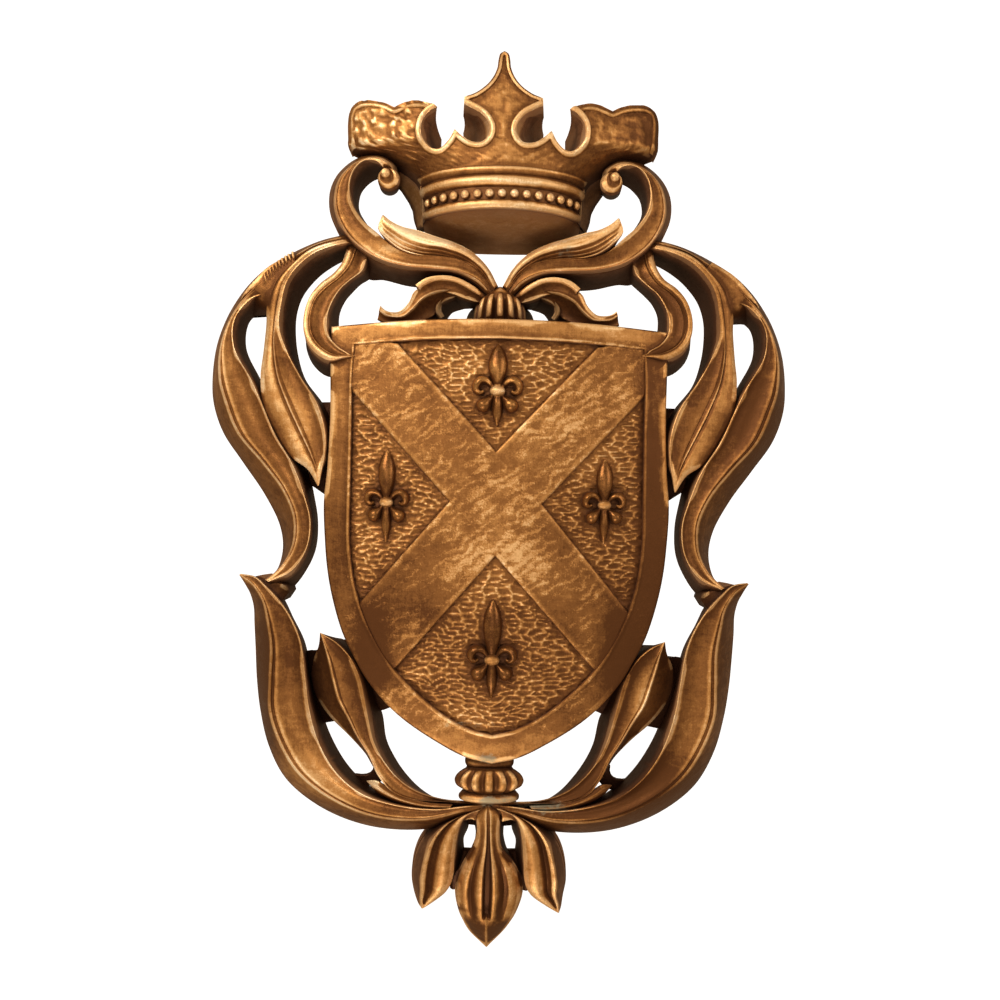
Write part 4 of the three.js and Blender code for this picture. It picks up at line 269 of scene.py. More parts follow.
        [[-12.2, -309.4, 0], [-14, -301.6, 25], [-1.7, -295.1, 38.5], [10.1, -301.6, 25], [8.2, -309.4, 0]],
        [[-2.7, -313, 0], [-1.6, -311.5, 28], [-1.4, -311.1, 28.5], [-1.2, -311.5, 28], [-0.5, -313, 0]],
    ]},
    "drop_web_top": {"sides": 2, "panels": ["flat", "flat"], "shift": [[0, 0]], "stations": [
        [[-14.9, -215.2, 0], [-14.9, -215.2, 31], [-10.1, -214.2, 32], [-5.2, -213.5, 32], [-5.2, -213.5, 0]],
        [[-18.4, -219.4, 0], [-18.4, -219.4, 31], [-12.9, -218.7, 31], [-7.3, -217.8, 31.5], [-7.3, -217.8, 0]],
        [[-20.5, -223.6, 0], [-20.5, -223.6, 29], [-14.3, -221.9, 29.5], [-7.7, -223.4, 29.5], [-7.7, -223.4, 0]],
    ]},
    "drop_web_back": {"sides": 2, "panels": ["flat", "flat"], "shift": [[0, 0]], "stations": [
        [[-33.4, -223.6, 0], [-33.4, -223.6, 10], [-16.2, -220.8, 10], [-1.9, -220.8, 10], [-1.9, -220.8, 0]],
        [[-25, -230.4, 0], [-25, -230.4, 7], [-14.9, -229.4, 6], [-4.8, -229.7, 7], [-4.8, -229.7, 0]],
        [[-22.2, -236, 0], [-22.2, -236, 4.5], [-14.3, -234.8, 3], [-7, -235.7, 4.5], [-7, -235.7, 0]],
    ]},
    "drop_web_low": {"sides": 2, "panels": ["flat", "flat"], "shift": [[0, 0]], "stations": [
        [[-25.1, -253, 0], [-25.1, -253, 4.5], [-17.2, -255.1, 3], [-8.8, -253.4, 4.5], [-8.8, -253.4, 0]],
        [[-28.6, -260.7, 0], [-28.6, -260.7, 7], [-22.1, -262.5, 6], [-13.4, -260.7, 7], [-13.4, -260.7, 0]],
        [[-29.3, -272.2, 0], [-29.3, -272.2, 7], [-25.4, -274.1, 6], [-20.6, -272.2, 7], [-20.6, -272.2, 0]],
        [[-28.6, -280.6, 0], [-28.6, -280.6, 6], [-26.5, -282.5, 4], [-22.1, -280.6, 6], [-22.1, -280.6, 0]],
    ]},
}

SHIELD_OUTLINE = [
    [0, 121.8], [31, 121.5], [65, 120.2], [115.4, 116.8], [115.6, 92.5],
    [115.2, 55], [116.5, 20], [118.5, -3.4], [117.5, -27.4], [115.5, -48],
    [111.4, -68.5], [103.8, -92.5], [94.9, -109.6], [86.7, -123.3],
    [72.9, -139.6], [59.1, -151.6], [38.5, -165], [18, -175.6], [0, -179.7],
]
SHIELD_INNER = [
    [0, 108.5], [31, 107.9], [65, 106.4], [98.5, 104], [99.9, 82],
    [99.9, 54.5], [99.9, 27], [99.9, 0], [99.9, -27], [97.8, -48],
    [95.1, -61.4], [88, -82], [78.1, -100.9], [67, -116.4],
    [56.7, -127.1], [45.2, -137.3], [31.6, -147.5], [15, -156], [0, -159.7],
]
# the saltire's edges, from the shield's top to its foot, as [x, z]
SALTIRE_ARMS = [
    ([[-68.5, 105.0], [-0.9, 33.0], [30.9, -2.3], [95.2, -79.5]],
     [[-101.3, 73.8], [-32.0, -1.5], [-0.1, -38.0], [71.2, -117.8]]),
    ([[66.4, 104.6], [-0.9, 33.0], [-32.0, -1.5], [-96.6, -76.6]],
     [[100.3, 72.7], [30.9, -2.3], [-0.1, -38.0], [-69.9, -119.9]]),
]
# knot [x, z], size, and how tall the lily is above and below its knot
LILIES = [[-0.6, 73.2, 0.99, 1.03, 0.9],
          [-74.7, -3.0, 0.9, 1.28, 1.16],
          [73.2, -2.3, 0.88, 1.14, 1.16],
          [-1.1, -107.9, 0.98, 1.32, 1.02]]
CROWN_FLARE = [      # half width of the front at each height
    [170, 52], [191, 55.5], [203, 56.2], [216, 57.5], [222, 61.5], [228, 70], [233, 81],
    [236.3, 90.5], [238.6, 100], [240.6, 107], [243.2, 111], [262, 112], [300, 113],
]
CROWN_FOOT = [       # half width at the wall
    [170, 55], [190, 60], [196, 61.9], [199, 63.1], [204, 64.5], [208, 64.7], [215, 68.1],
    [223, 73.5], [236, 86],
    [241, 90], [246, 98], [249, 101], [262, 108], [300, 112],
]
SIDE_FLEURON = [
    [-91, 235.6], [-97, 238.4], [-106.3, 240.6], [-107.4, 252.5],
    [-106.8, 263], [-104, 268.2], [-98, 270.4], [-89.1, 269.4],
    [-80, 266.6], [-73.4, 263], [-68.5, 264.6], [-63.6, 266],
    [-57.4, 266.2], [-47.9, 263.4], [-44.5, 261.4],
]
MIDDLE_FLEURON = [
    [-25.5, 267.7], [-18.8, 270.2], [-12.2, 274.7], [-7.6, 280],
    [-4.6, 286.6], [-3.9, 291.9], [-2.8, 296], [0, 297.8],
]
NOTCH_FRONT = [
    [-44.3, 261.3], [-49.7, 258.4], [-53.8, 253.5], [-55.2, 247.8],
    [-53.6, 240.4], [-47.8, 235.1], [-42.4, 234.6], [-36.5, 239],
    [-32.2, 246.2], [-26.9, 241.4], [-21, 238], [-13.5, 238],
    [-9.2, 243], [-9.2, 249], [-14.2, 256], [-20, 259.5], [-26.2, 262.5],
]
NOTCH_BACK_X = (-44.2, -30.2)
NOTCH_BACK_FLOOR = 250.0


# ------------------------------------------------------------ mesh helpers --
def closed(verts, faces):
    """A closed triangle mesh with its faces pointing out."""
    verts = np.asarray(verts, float)
    faces = np.asarray(faces, np.int64)
    a, b, c = (verts[faces[:, k]] for k in range(3))
    if np.einsum("ij,ij->i", a, np.cross(b, c)).sum() < 0:
        faces = faces[:, ::-1]
    return verts, faces


def ring_loft(rings, loop=False):
    """Joins equal rings of points. The ends are closed unless it is a loop."""
    rings = np.asarray(rings, float)
    m, n, _ = rings.shape
    i = np.arange(m if loop else m - 1)[:, None]
    j = np.arange(n)[None, :]
    a = i * n + j
    b = ((i + 1) % m) * n + j
    b2 = ((i + 1) % m) * n + (j + 1) % n
    a2 = i * n + (j + 1) % n
    faces = [np.stack([a, b, b2], -1).reshape(-1, 3),
             np.stack([a, b2, a2], -1).reshape(-1, 3)]
    if not loop:
        k = np.arange(1, n - 1)
        z = (m - 1) * n
        faces.append(np.stack([0 * k, k, k + 1], -1))
        faces.append(np.stack([z + 0 * k, z + k + 1, z + k], -1))
    return closed(rings.reshape(-1, 3), np.vstack(faces))


def spline(points, at):
    """Centripetal Catmull-Rom through points, at values from 0 to 1."""
    p = np.asarray(points, float)
    p = np.vstack([2 * p[0] - p[1], p, 2 * p[-1] - p[-2]])
    m = len(p) - 3
    s = np.clip(np.asarray(at, float), 0, 1) * m
    k = np.minimum(s.astype(int), m - 1)
    t = (s - k)[:, None]
    p0, p1, p2, p3 = p[k], p[k + 1], p[k + 2], p[k + 3]

    def gap(u, v):
        return np.maximum(np.sqrt(np.linalg.norm(v - u, axis=1)), 1e-4)[:, None]

    d0, d1, d2 = gap(p0, p1), gap(p1, p2), gap(p2, p3)
    m1 = ((p1 - p0) / d0 - (p2 - p0) / (d0 + d1) + (p2 - p1) / d1) * d1
    m2 = ((p2 - p1) / d1 - (p3 - p1) / (d1 + d2) + (p3 - p2) / d2) * d1
    return ((2 * t**3 - 3 * t**2 + 1) * p1 + (t**3 - 2 * t**2 + t) * m1
            + (-2 * t**3 + 3 * t**2) * p2 + (t**3 - t**2) * m2)


def even(curves, spacing, least=6):
    """Values of t that space the curves' points evenly."""
    dense = np.linspace(0, 1, 500)
    lines = [spline(c, dense) for c in curves]
    step = np.max([np.linalg.norm(np.diff(l, axis=0), axis=1) for l in lines], axis=0)
    run = np.concatenate([[0], np.cumsum(step)])
    n = max(least, int(round(run[-1] / spacing)))
    return np.interp(np.linspace(0, run[-1], n + 1), run, dense)


def hash01(*keys):
    """Repeatable value from 0 to 1 for whole-number keys."""
    keys = np.broadcast_arrays(*[np.atleast_1d(np.asarray(k, np.int64)) for k in keys])
    h = np.full(keys[0].shape, 0x9E3779B97F4A7C15, np.uint64)
    for k in keys:
        h = h ^ (k.astype(np.uint64) + np.uint64(0x9E3779B9)
                 + (h << np.uint64(6)) + (h >> np.uint64(2)))
        h = (h ^ (h >> np.uint64(30))) * np.uint64(0xBF58476D1CE4E5B9)
        h = (h ^ (h >> np.uint64(27))) * np.uint64(0x94D049BB133111EB)
        h = h ^ (h >> np.uint64(31))
    return (h >> np.uint64(11)).astype(float) / float(1 << 53)


def value_noise(x, z, scale, seed=0):
    """Smooth noise from -1 to 1 over the plane."""
    x, z = np.atleast_1d(np.asarray(x, float)) / scale, np.atleast_1d(np.asarray(z, float)) / scale
    i, j = np.floor(x).astype(int), np.floor(z).astype(int)
    fx, fz = x - i, z - j
    fx, fz = fx * fx * (3 - 2 * fx), fz * fz * (3 - 2 * fz)
    g = [[hash01(i + a, j + b, seed) for b in (0, 1)] for a in (0, 1)]
    v = ((g[0][0] * (1 - fx) + g[1][0] * fx) * (1 - fz)
         + (g[0][1] * (1 - fx) + g[1][1] * fx) * fz)
    return 2 * v - 1


SOLIDS = []          # every solid, as (vertices in mm, faces)


# ------------------------------------------------------- leaves and scrolls --
# Carving across a panel, from its first edge to its second: [t, rise in mm]
# on a panel as wide as the third value; narrower stretches are shallower.
# [t, rise, plain rise, gouge] where the groove and the gouge start and end
# along the leaf.
PANELS = {
    "flank": ([[0.1, 0.35], [0.22, 0.8], [0.36, 1.2], [0.5, 1.45], [0.64, 1.4],
               [0.76, 1.1], [0.86, 0.75], [0.94, 0.45]], 12),
    "blade": ([[0.03, -0.9], [0.06, -1.8], [0.085, -1.9], [0.12, -1.2], [0.17, -1.35],
               [0.25, -2.2], [0.34, -3.0], [0.44, -3.7], [0.54, -4.0], [0.64, -3.9],
               [0.74, -3.3], [0.83, -2.4], [0.9, -1.5], [0.945, -0.5], [0.975, 0.1]], 22),
    "face": ([[0.05, -0.7], [0.1, -1.3], [0.15, -0.9], [0.25, -1.3], [0.36, -1.8],
              [0.48, -2.2], [0.6, -2.3], [0.72, -2.0], [0.83, -1.4], [0.91, -0.7],
              [0.96, -0.1]], 14),
    "hollow": ([[0.08, -0.9], [0.18, -1.7], [0.3, -2.4], [0.44, -2.8], [0.58, -2.8],
                [0.72, -2.3], [0.85, -1.4], [0.94, -0.6]], 12),
    "roll": ([[0.06, 0.5], [0.15, 1.1], [0.28, 1.6], [0.42, 1.9], [0.56, 1.9],
              [0.7, 1.5], [0.8, 1.0], [0.86, 0.2], [0.9, -0.3], [0.94, 0.2],
              [0.97, 0.5]], 12),
    "rib": ([[0.2, 0.6], [0.45, 1.0], [0.7, 0.7], [0.88, -0.1]], 4),
    "edge": ([[0.15, 0.7], [0.35, 1.2], [0.6, 1.3], [0.8, 0.9], [0.93, 0.4]], 5),
    "crestface": ([[0.05, -0.8], [0.1, -1.5], [0.15, -1.1], [0.25, -1.3], [0.38, -1.8],
                   [0.52, -2.1], [0.66, -2.0], [0.8, -1.5], [0.9, -0.8], [0.96, -0.2]], 12),
    "flutes": ([[0.05, -0.9], [0.11, -1.7], [0.17, -0.9], [0.24, 0.1], [0.31, -0.8], [0.37, -1.5],
                [0.43, -0.9], [0.51, 0.3], [0.59, -0.5], [0.65, -1.2], [0.71, -0.5], [0.8, 0.6],
                [0.9, 0.5]], 10),
    "drop": ([[0.04, -0.2], [0.1, -0.4], [0.15, -1.5], [0.21, -3.0], [0.27, -3.4],
              [0.33, -2.4], [0.39, -0.5], [0.46, 1.0], [0.55, 2.1], [0.65, 2.7],
              [0.75, 2.6], [0.84, 2.0], [0.92, 1.2]], 19),
    "midleaf": ([[0.05, 1.7, 0.9, 0], [0.12, 3.4, 1.7, 0], [0.22, 5.0, 2.4, 0], [0.33, 6.0, 2.8, -0.4],
                 [0.41, 6.5, 2.9, -1.8], [0.46, 6.6, 2.9, -3.3], [0.5, 6.7, 2.9, -3.9],
                 [0.54, 6.8, 2.8, -3.2], [0.6, 6.9, 2.6, -1.2], [0.68, 7.1, 2.2, 0],
                 [0.76, 7.5, 1.8, 0], [0.83, 7.0, 1.3, 0], [0.88, 3.6, 0.9, 0], [0.93, 0.4, 0.5, 0]], 20),
    "midleafR": ([[0.06, 0.4, 0.5, 0], [0.11, 3.0, 0.9, 0], [0.16, 6.6, 1.3, 0], [0.22, 7.5, 1.8, 0],
                  [0.28, 7.2, 2.2, -0.4], [0.34, 7.0, 2.5, -1.4], [0.4, 6.8, 2.7, -3.2],
                  [0.47, 6.6, 2.8, -4.6], [0.54, 6.4, 2.8, -3.6], [0.61, 6.1, 2.7, -1.2],
                  [0.71, 5.5, 2.4, 0], [0.82, 4.4, 1.7, 0], [0.92, 2.4, 0.9, 0]], 20),
    "flat": ([[0.25, 0], [0.5, 0], [0.75, 0]], 10),
}


def ribbon_sections(ribbon, mirror, spacing):
    rows = np.array(ribbon["stations"], float)          # station, rail, xzh
    if mirror:
        shift = np.array(ribbon["shift"], float)
        at = np.linspace(0, len(shift) - 1, len(rows))
        for k in (0, 1):
            rows[:, :, k] += np.interp(at, np.arange(len(shift)), shift[:, k])[:, None]
        rows[:, :, 0] *= -1
    rails = [rows[:, j] for j in range(rows.shape[1])]
    ts = even(rails[1:-1], spacing)
    p = [spline(r, ts) for r in rails]
    feet, p = (p[0], p[-1]), p[1:-1]
    carve = ribbon.get("carve", [1.0])
    cut, groove, gouge = (np.interp(ts * (len(w) - 1), np.arange(len(w)), w)
                          for w in (carve, ribbon.get("groove", [1.0]), ribbon.get("gouge", [0.0])))
    line = []
    for j, name in enumerate(ribbon["panels"]):
        profile, full = PANELS[name]
        width = np.linalg.norm((p[j + 1] - p[j])[:, :2], axis=1)
        depth = np.minimum(1, width / full) * cut
        line.append(p[j].copy())
        for t, rise, *rest in profile:
            plain, cleft = rest or (rise, 0.0)
            q = p[j] * (1 - t) + p[j + 1] * t
            q[:, 2] += depth * (rise * groove + plain * (1 - groove) + cleft * gouge)
            line.append(q)
    line.append(p[-1].copy())
    return np.stack(line, 1), feet                      # along, across, xzh


def on_wall(sections, feet, soft=0.7):
    """Closes each section down to the back, with soft upper edges."""
    a, b = sections[:, 0], sections[:, -1]
    out = a[:, :2] - b[:, :2]
    width = np.linalg.norm(out, axis=1, keepdims=True)
    out = out / np.maximum(width, 1e-6)
    r = np.minimum(soft, 0.2 * width)

    def edge(p, o, foot):
        foot = np.column_stack([foot[:, :2], 0 * foot[:, 2]])
        low = np.column_stack([p[:, :2] + o * r * 0.15, p[:, 2:3] - 1.6 * r])
        mid = np.column_stack([p[:, :2] - o * r * 0.25, p[:, 2:3] - 0.4 * r])
        waist = 0.45 * foot + 0.55 * low
        return foot, waist, low, mid

    foot_a, waist_a, low_a, mid_a = edge(a, out, feet[0])
    foot_b, waist_b, low_b, mid_b = edge(b, -out, feet[1])
    top = sections.copy()
    top[:, 0, :2] -= out * r
    top[:, -1, :2] += out * r
    parts = [foot_a[:, None], waist_a[:, None], low_a[:, None], mid_a[:, None], top,
             mid_b[:, None], low_b[:, None], waist_b[:, None], foot_b[:, None]]
    ring = np.concatenate(parts, 1)
    return ring_loft(np.stack([ring[..., 0], -ring[..., 2], ring[..., 1]], -1))


for name, ribbon in RIBBONS.items():
    fill = ribbon["panels"][0] == "flat"
    spacing = 5.0 if fill else 2.9
    for mirror in ((False, True) if ribbon["sides"] == 2 else (False,)):
        SOLIDS.append(on_wall(*ribbon_sections(ribbon, mirror, spacing)))


# ------------------------------------------------------------------ shield --
def shield_height(x, z):
    x, z = np.asarray(x, float), np.asarray(z, float)
    low = np.clip((z + 175) / 115, 0, 1)
    across = 1 - np.minimum(1, (x / SHIELD_HALF_WIDTH) ** 2)
    return SHIELD_EDGE_H + SHIELD_CROWNING * across * (0.4 + 0.6 * low * (2 - low))


CORNER = 3           # the outline's point at the shield's top corner


def outline(half, count):
    pts = np.array([[x, z, 0] for x, z in half], float)
    top = int(0.26 * count)
    right = np.vstack([spline(pts[:CORNER + 1], even([pts[:CORNER + 1]], 1e9, top))[:-1, :2],
                       spline(pts[CORNER:], even([pts[CORNER:]], 1e9, count - top))[:, :2]])
    left = right[1:-1][::-1] * [-1, 1]
    return np.vstack([right, left])


def xzh(x, z, h):
    x, z, h = np.broadcast_arrays(x, z, h)
    return np.stack([x, -h, z], -1)


def shield_body():
    line = outline(SHIELD_OUTLINE, 60)
    centre = np.array([0, -5.0])
    n = len(line)
    rings = []
    for scale in (0.985, 0.8, 0.6, 0.4, 0.2):
        p = centre + (line - centre) * scale
        rings.append(xzh(p[:, 0], p[:, 1], shield_height(*p.T) - FIELD_DEPTH - 1.2))
    verts = np.vstack(rings + [xzh(*centre, shield_height(*centre) - FIELD_DEPTH - 1.2)[None],
                               xzh(line[:, 0] * 0.99, line[:, 1], 0 * line[:, 0]),
                               xzh(*centre, 0.0)[None]])
    j = np.arange(n)
    k = (j + 1) % n
    faces = []
    for r in range(len(rings) - 1):
        faces += [np.stack([r * n + j, (r + 1) * n + j, (r + 1) * n + k], -1),
                  np.stack([r * n + j, (r + 1) * n + k, r * n + k], -1)]
    tip = len(rings) * n
    last = (len(rings) - 1) * n
    foot = tip + 1
    back = foot + n
    faces += [np.stack([last + j, tip + 0 * j, last + k], -1),
              np.stack([foot + j, j, k], -1), np.stack([foot + j, k, foot + k], -1),
              np.stack([back + 0 * j, foot + j, foot + k], -1)]
    return closed(verts, np.vstack(faces))


def shield_border():
    outer, inner = outline(SHIELD_OUTLINE, 110), outline(SHIELD_INNER, 110)
    rows = []
    # part of the way from the outer to the inner edge, and rise; last one sinks in
    for t, dh in [(-0.01, -2.2), (0.0, -1.1), (0.03, -0.45), (0.08, -0.1), (0.2, 0.0),
                  (0.4, 0.1), (0.6, 0.1), (0.78, 0.0), (0.86, 0.05), (0.9, 0.45),
                  (0.94, 0.6), (0.975, 0.35), (1.0, -0.5), (1.01, -8.0)]:
        p = outer * (1 - t) + inner * t
        wave = 0.25 * value_noise(p[:, 0], p[:, 1], 22, 4)
        rows.append(xzh(p[:, 0], p[:, 1], shield_height(*p.T) + dh + wave))
    p = outer * 0.85 + inner * 0.15
    rows.append(xzh(p[:, 0], p[:, 1], 0.0))
    rows.insert(0, xzh(outer[:, 0], outer[:, 1], 0.0))
    return ring_loft(np.stack(rows, 1), loop=True)


def saltire_arm(edge_a, edge_b, end_a, end_b, sink):
    n = 90
    t = np.concatenate([np.linspace(-0.09, 0, 9)[:-1], np.linspace(0, 1, n + 1)])[:, None]
    past = np.maximum(-t, 0) / 0.09

    def side(edge, end):
        edge = np.array(edge, float)
        on = np.column_stack([np.interp(t[:, 0], [0, 0.4, 0.6, 1], edge[:, k]) for k in (0, 1)])
        return on * (1 - past) + np.array(end) * past

    a, b = side(edge_a, end_a), side(edge_b, end_b)
    rows = [xzh(a[:, 0], a[:, 1], 30.0)]
    near = np.exp(-((t[:, 0] - 0.5) / 0.16) ** 4) * sink
    for s, dh in [(0.0, -2.4), (0.005, -0.8), (0.018, -0.15), (0.04, 0.05), (0.09, -0.1),
                  (0.2, 0), (0.32, 0), (0.44, 0), (0.56, 0), (0.68, 0), (0.8, 0),
                  (0.91, -0.1), (0.96, 0.05), (0.982, -0.15), (0.995, -0.8), (1.0, -2.4)]:
        p = a * (1 - s) + b * s
        wave = 0.3 * value_noise(p[:, 0], p[:, 1], 17, 9) + 0.12 * value_noise(p[:, 0], p[:, 1], 6, 2)
        rows.append(xzh(p[:, 0], p[:, 1],
                        shield_height(*p.T) - SALTIRE_DROP + dh + wave - near))
    rows.append(xzh(b[:, 0], b[:, 1], 30.0))
    return ring_loft(np.stack(rows, 1))


def hammered(x, z):
    """Rows of shallow gouge marks: depth below the ridges between them."""
    row_h, mark_w = 3.5, 9.6
    best = np.full(x.shape, 9e9)
    second = best.copy()
    zz = z + 2.0 * value_noise(x, z, 14, 31) + 0.7 * value_noise(x, z, 6, 32)
    i0 = np.floor(zz / row_h).astype(int)
    for di in (-1, 0, 1, 2):
        i = i0 + di
        off = hash01(i, 5) * mark_w
        j0 = np.floor((x - off) / mark_w).astype(int)
        for dj in (-1, 0, 1, 2):
            j = j0 + dj
            sx = off + (j + 0.5 + 0.75 * (hash01(i, j, 1) - 0.5)) * mark_w
            sz = (i + 0.5 + 0.75 * (hash01(i, j, 2) - 0.5)) * row_h
            d = ((x - sx) / 6.0) ** 2 + ((zz - sz) / 1.85) ** 2
            second = np.where(d < best, best, np.minimum(second, d))
            best = np.minimum(best, d)
    ridge = np.sqrt(second) - np.sqrt(best)
    return -1.05 * (1 - np.exp(-ridge / 0.5)) + 0.12 * value_noise(x, z, 2.4, 8)


def field(z_low, z_high, left, right, dz=0.95, dx=1.35):
    """A hammered field between two edges x = left(z) and x = right(z)."""
    zs = np.linspace(z_low, z_high, max(3, int(round((z_high - z_low) / dz))) + 1)
    rows, starts, count = [], [], 0
    for z in zs:
        a, b = left(z), right(z)
        n = max(1, int(round((b - a) / dx)))
        rows.append(np.linspace(a, b, n + 1))
        starts.append(count)
        count += n + 1
    x = np.concatenate(rows)
    z = np.concatenate([np.full(len(r), q) for r, q in zip(rows, zs)])
    h = shield_height(x, z) - FIELD_DEPTH + 0.45 + hammered(x, z)
    verts = [xzh(x, z, h)]
    faces = []
    for r in range(len(rows) - 1):
        p, q = rows[r], rows[r + 1]
        i = j = 0
        while i < len(p) - 1 or j < len(q) - 1:
            go_i = j == len(q) - 1
            if i < len(p) - 1 and j < len(q) - 1:
                go_i = abs(p[i + 1] - q[j]) < abs(q[j + 1] - p[i])
            if go_i:
                faces.append([starts[r] + i, starts[r] + i + 1, starts[r + 1] + j])
                i += 1
            else:
                faces.append([starts[r] + i, starts[r + 1] + j + 1, starts[r + 1] + j])
                j += 1
    # the rim of the field, once round, down to a fan at the bottom
    rim = [starts[0] + i for i in range(len(rows[0]))]
    rim += [starts[r] + len(rows[r]) - 1 for r in range(1, len(rows))]
    rim += [starts[-1] + i for i in range(len(rows[-1]) - 2, -1, -1)]
    rim += [starts[r] for r in range(len(rows) - 2, 0, -1)]
    rim = np.array(rim)
    low = xzh(x[rim], z[rim], 28.0)
    verts += [low, xzh(x.mean(), z.mean(), 28.0)[None]]
    base = count
    hub = count + len(rim)
    j = np.arange(len(rim))
    k = (j + 1) % len(rim)
    side = np.vstack([np.stack([rim[k], rim[j], base + j], -1),
                      np.stack([rim[k], base + j, base + k], -1),
                      np.stack([base + k, base + j, hub + 0 * j], -1)])
    return closed(np.vstack(verts), np.vstack([np.array(faces), side]))


INNER_X = np.array(SHIELD_INNER, float)


def border_x(z):
    """Half width of the border's inner edge at a height."""
    side = INNER_X[3:][::-1]
    return float(np.interp(z, side[:, 1], side[:, 0])) + 1.0


def on_line(line, z):
    p = np.array(line, float)[::-1]
    k = min(max(int(np.searchsorted(p[:, 1], z)) - 1, 0), len(p) - 2)
    (x1, z1), (x2, z2) = p[k], p[k + 1]
    return x1 + (x2 - x1) * (z - z1) / (z2 - z1)


A1, B1 = SALTIRE_ARMS[0]
A2, B2 = SALTIRE_ARMS[1]
TOP, LEFT, RIGHT, BOTTOM = A1[1], B1[1], A1[2], B1[2]
UNDER = 0.8          # how far a field runs on under its neighbours


def fields():
    yield field(TOP[1] - 0.5, 109.5, lambda z: on_line(A1, z) - UNDER,
                lambda z: on_line(A2, z) + UNDER)
    yield field(-75.5, 83, lambda z: -border_x(z),
                lambda z: max((on_line(B1, z) if z > LEFT[1] else on_line(A2, z)) + UNDER,
                              -border_x(z) + 0.3))
    yield field(-84, 77, lambda z: min((on_line(B2, z) if z > RIGHT[1] else on_line(A1, z)) - UNDER,
                                       border_x(z) - 0.3),
                lambda z: border_x(z))
    yield field(-161, BOTTOM[1] + 0.5,
                lambda z: max(on_line(B2, z) - UNDER, -border_x(z)),
                lambda z: min(on_line(B1, z) + UNDER, border_x(z)))


SOLIDS += [shield_body(), shield_border(),
           saltire_arm(*SALTIRE_ARMS[0], [-97, 110], [-104.5, 102], 0.0),
           saltire_arm(*SALTIRE_ARMS[1], [97, 110], [104.5, 102], 0.08)]
SOLIDS += list(fields())


# ------------------------------------------------------------------ lilies --
def petal(cx, cz, k, line, spacing=1.0, sides=13, flat=1.0, round_end=True):
    """A rounded bar lofted through [x, z, half width, rise] rows."""
    rows = np.array(line, float)
    ts = even([rows], spacing, 6)
    p = spline(rows, ts)
    x, z = cx + k * p[:, 0], cz + k * p[:, 1]
    along = np.gradient(np.stack([x, z], 1), axis=0)
    along /= np.maximum(np.linalg.norm(along, axis=1, keepdims=True), 1e-9)
    base = shield_height(x, z) - FIELD_DEPTH - 1.6
    w = np.maximum(p[:, 2], 0.15) * k
    rise = np.maximum(p[:, 3], 0.1) * k + 1.6
    angle = np.linspace(0, math.pi, sides)
    c, s = np.cos(angle), np.sin(angle) ** flat
    px = x[:, None] + along[:, 1:2] * w[:, None] * c
    pz = z[:, None] - along[:, 0:1] * w[:, None] * c
    ph = base[:, None] + rise[:, None] * s
    return ring_loft(xzh(px, pz, ph))


def lily(cx, cz, k, up, low):
    def tall(rows):
        return [[x, z * (up if z > 0 else low), w, r] for x, z, w, r in rows]

    yield petal(cx, cz, k, tall([[0, 31.5, 0.3, 0.2], [0, 29.5, 2.6, 1.8], [0, 25.5, 5.2, 3.6],
                                 [0, 19.5, 6.8, 5.2], [0, 13, 6.5, 5.6], [0, 7.5, 4.9, 5.0],
                                 [0, 3, 3.3, 4.2], [0, 0, 2.6, 3.6]]), flat=0.8)
    yield petal(cx, cz, k, tall([[0, 0, 2.2, 3.4], [0, -4, 3.2, 4.4], [0, -9, 4.0, 5.0],
                                 [0, -14, 4.0, 4.6], [0, -19.5, 3.1, 3.6], [0, -24, 1.6, 2.0],
                                 [0, -26.5, 0.3, 0.2]]), flat=0.8)
    yield petal(cx, cz, k, [[-5.2, 0, 0.8, 4.4], [-4.2, 0, 2.8, 6.2], [-2.2, 0, 3.9, 7.2], [0, 0, 4.3, 7.6],
                            [2.2, 0, 3.9, 7.2], [4.2, 0, 2.8, 6.2], [5.2, 0, 0.8, 4.4]], flat=0.7)
    for s in (-1, 1):
        yield petal(cx, cz, k, [[s * 2.4, 0.6, 1.8, 2.8], [s * 4.4, 4.4, 2.4, 4.0],
                                [s * 7.6, 7.2, 2.9, 5.4], [s * 11.4, 7.4, 3.3, 6.2],
                                [s * 14.2, 4.6, 3.4, 6.2], [s * 14.3, 0.9, 3.1, 5.0],
                                [s * 11.8, -0.9, 2.4, 3.6], [s * 9.6, 0.2, 1.7, 2.4]], sides=11)
        yield petal(cx, cz, k, [[s * 1.6, -1.4, 1.6, 2.6], [s * 3.6, -3.7, 2.1, 3.4],
                                [s * 5.6, -5.9, 3.4, 4.8], [s * 7.6, -8.0, 5.0, 6.4],
                                [s * 9.8, -10.0, 5.5, 7.0], [s * 11.8, -11.8, 4.6, 5.6],
                                [s * 13.4, -13.3, 0.8, 0.8]], sides=11)


for place in LILIES:
    SOLIDS += list(lily(*place))


# ------------------------------------------------------------------- knobs --
def turned(rows, spacing, lobes=0, lobe_depth=0.0, lobe_span=(-1e9, 1e9), sides=56, x0=0.0,
           foot=1.0, base=KNOB_BASE_H):
    """Half-round turned body through [z, half width, depth] rows."""
    rows = np.array(rows, float)
    p = spline(rows, even([rows], spacing))
    angle = np.linspace(0, math.pi, sides + 1)
    rings = []
    for z, w, d in p:
        fade = 0.0
        if lobes and lobe_span[0] < z < lobe_span[1]:
            fade = math.sin(math.pi * (z - lobe_span[0]) / (lobe_span[1] - lobe_span[0])) ** 0.6
        cut = 1 - lobe_depth * fade * np.abs(np.cos(angle * lobes)) ** 3
        ring = np.column_stack([x0 + w * np.cos(angle) * cut,
                                -(base + d * np.sin(angle) * cut),
                                np.full(sides + 1, z)])
        rings.append(np.vstack([[x0 + foot * w, 0, z], ring, [x0 - foot * w, 0, z]]))
    return ring_loft(rings)


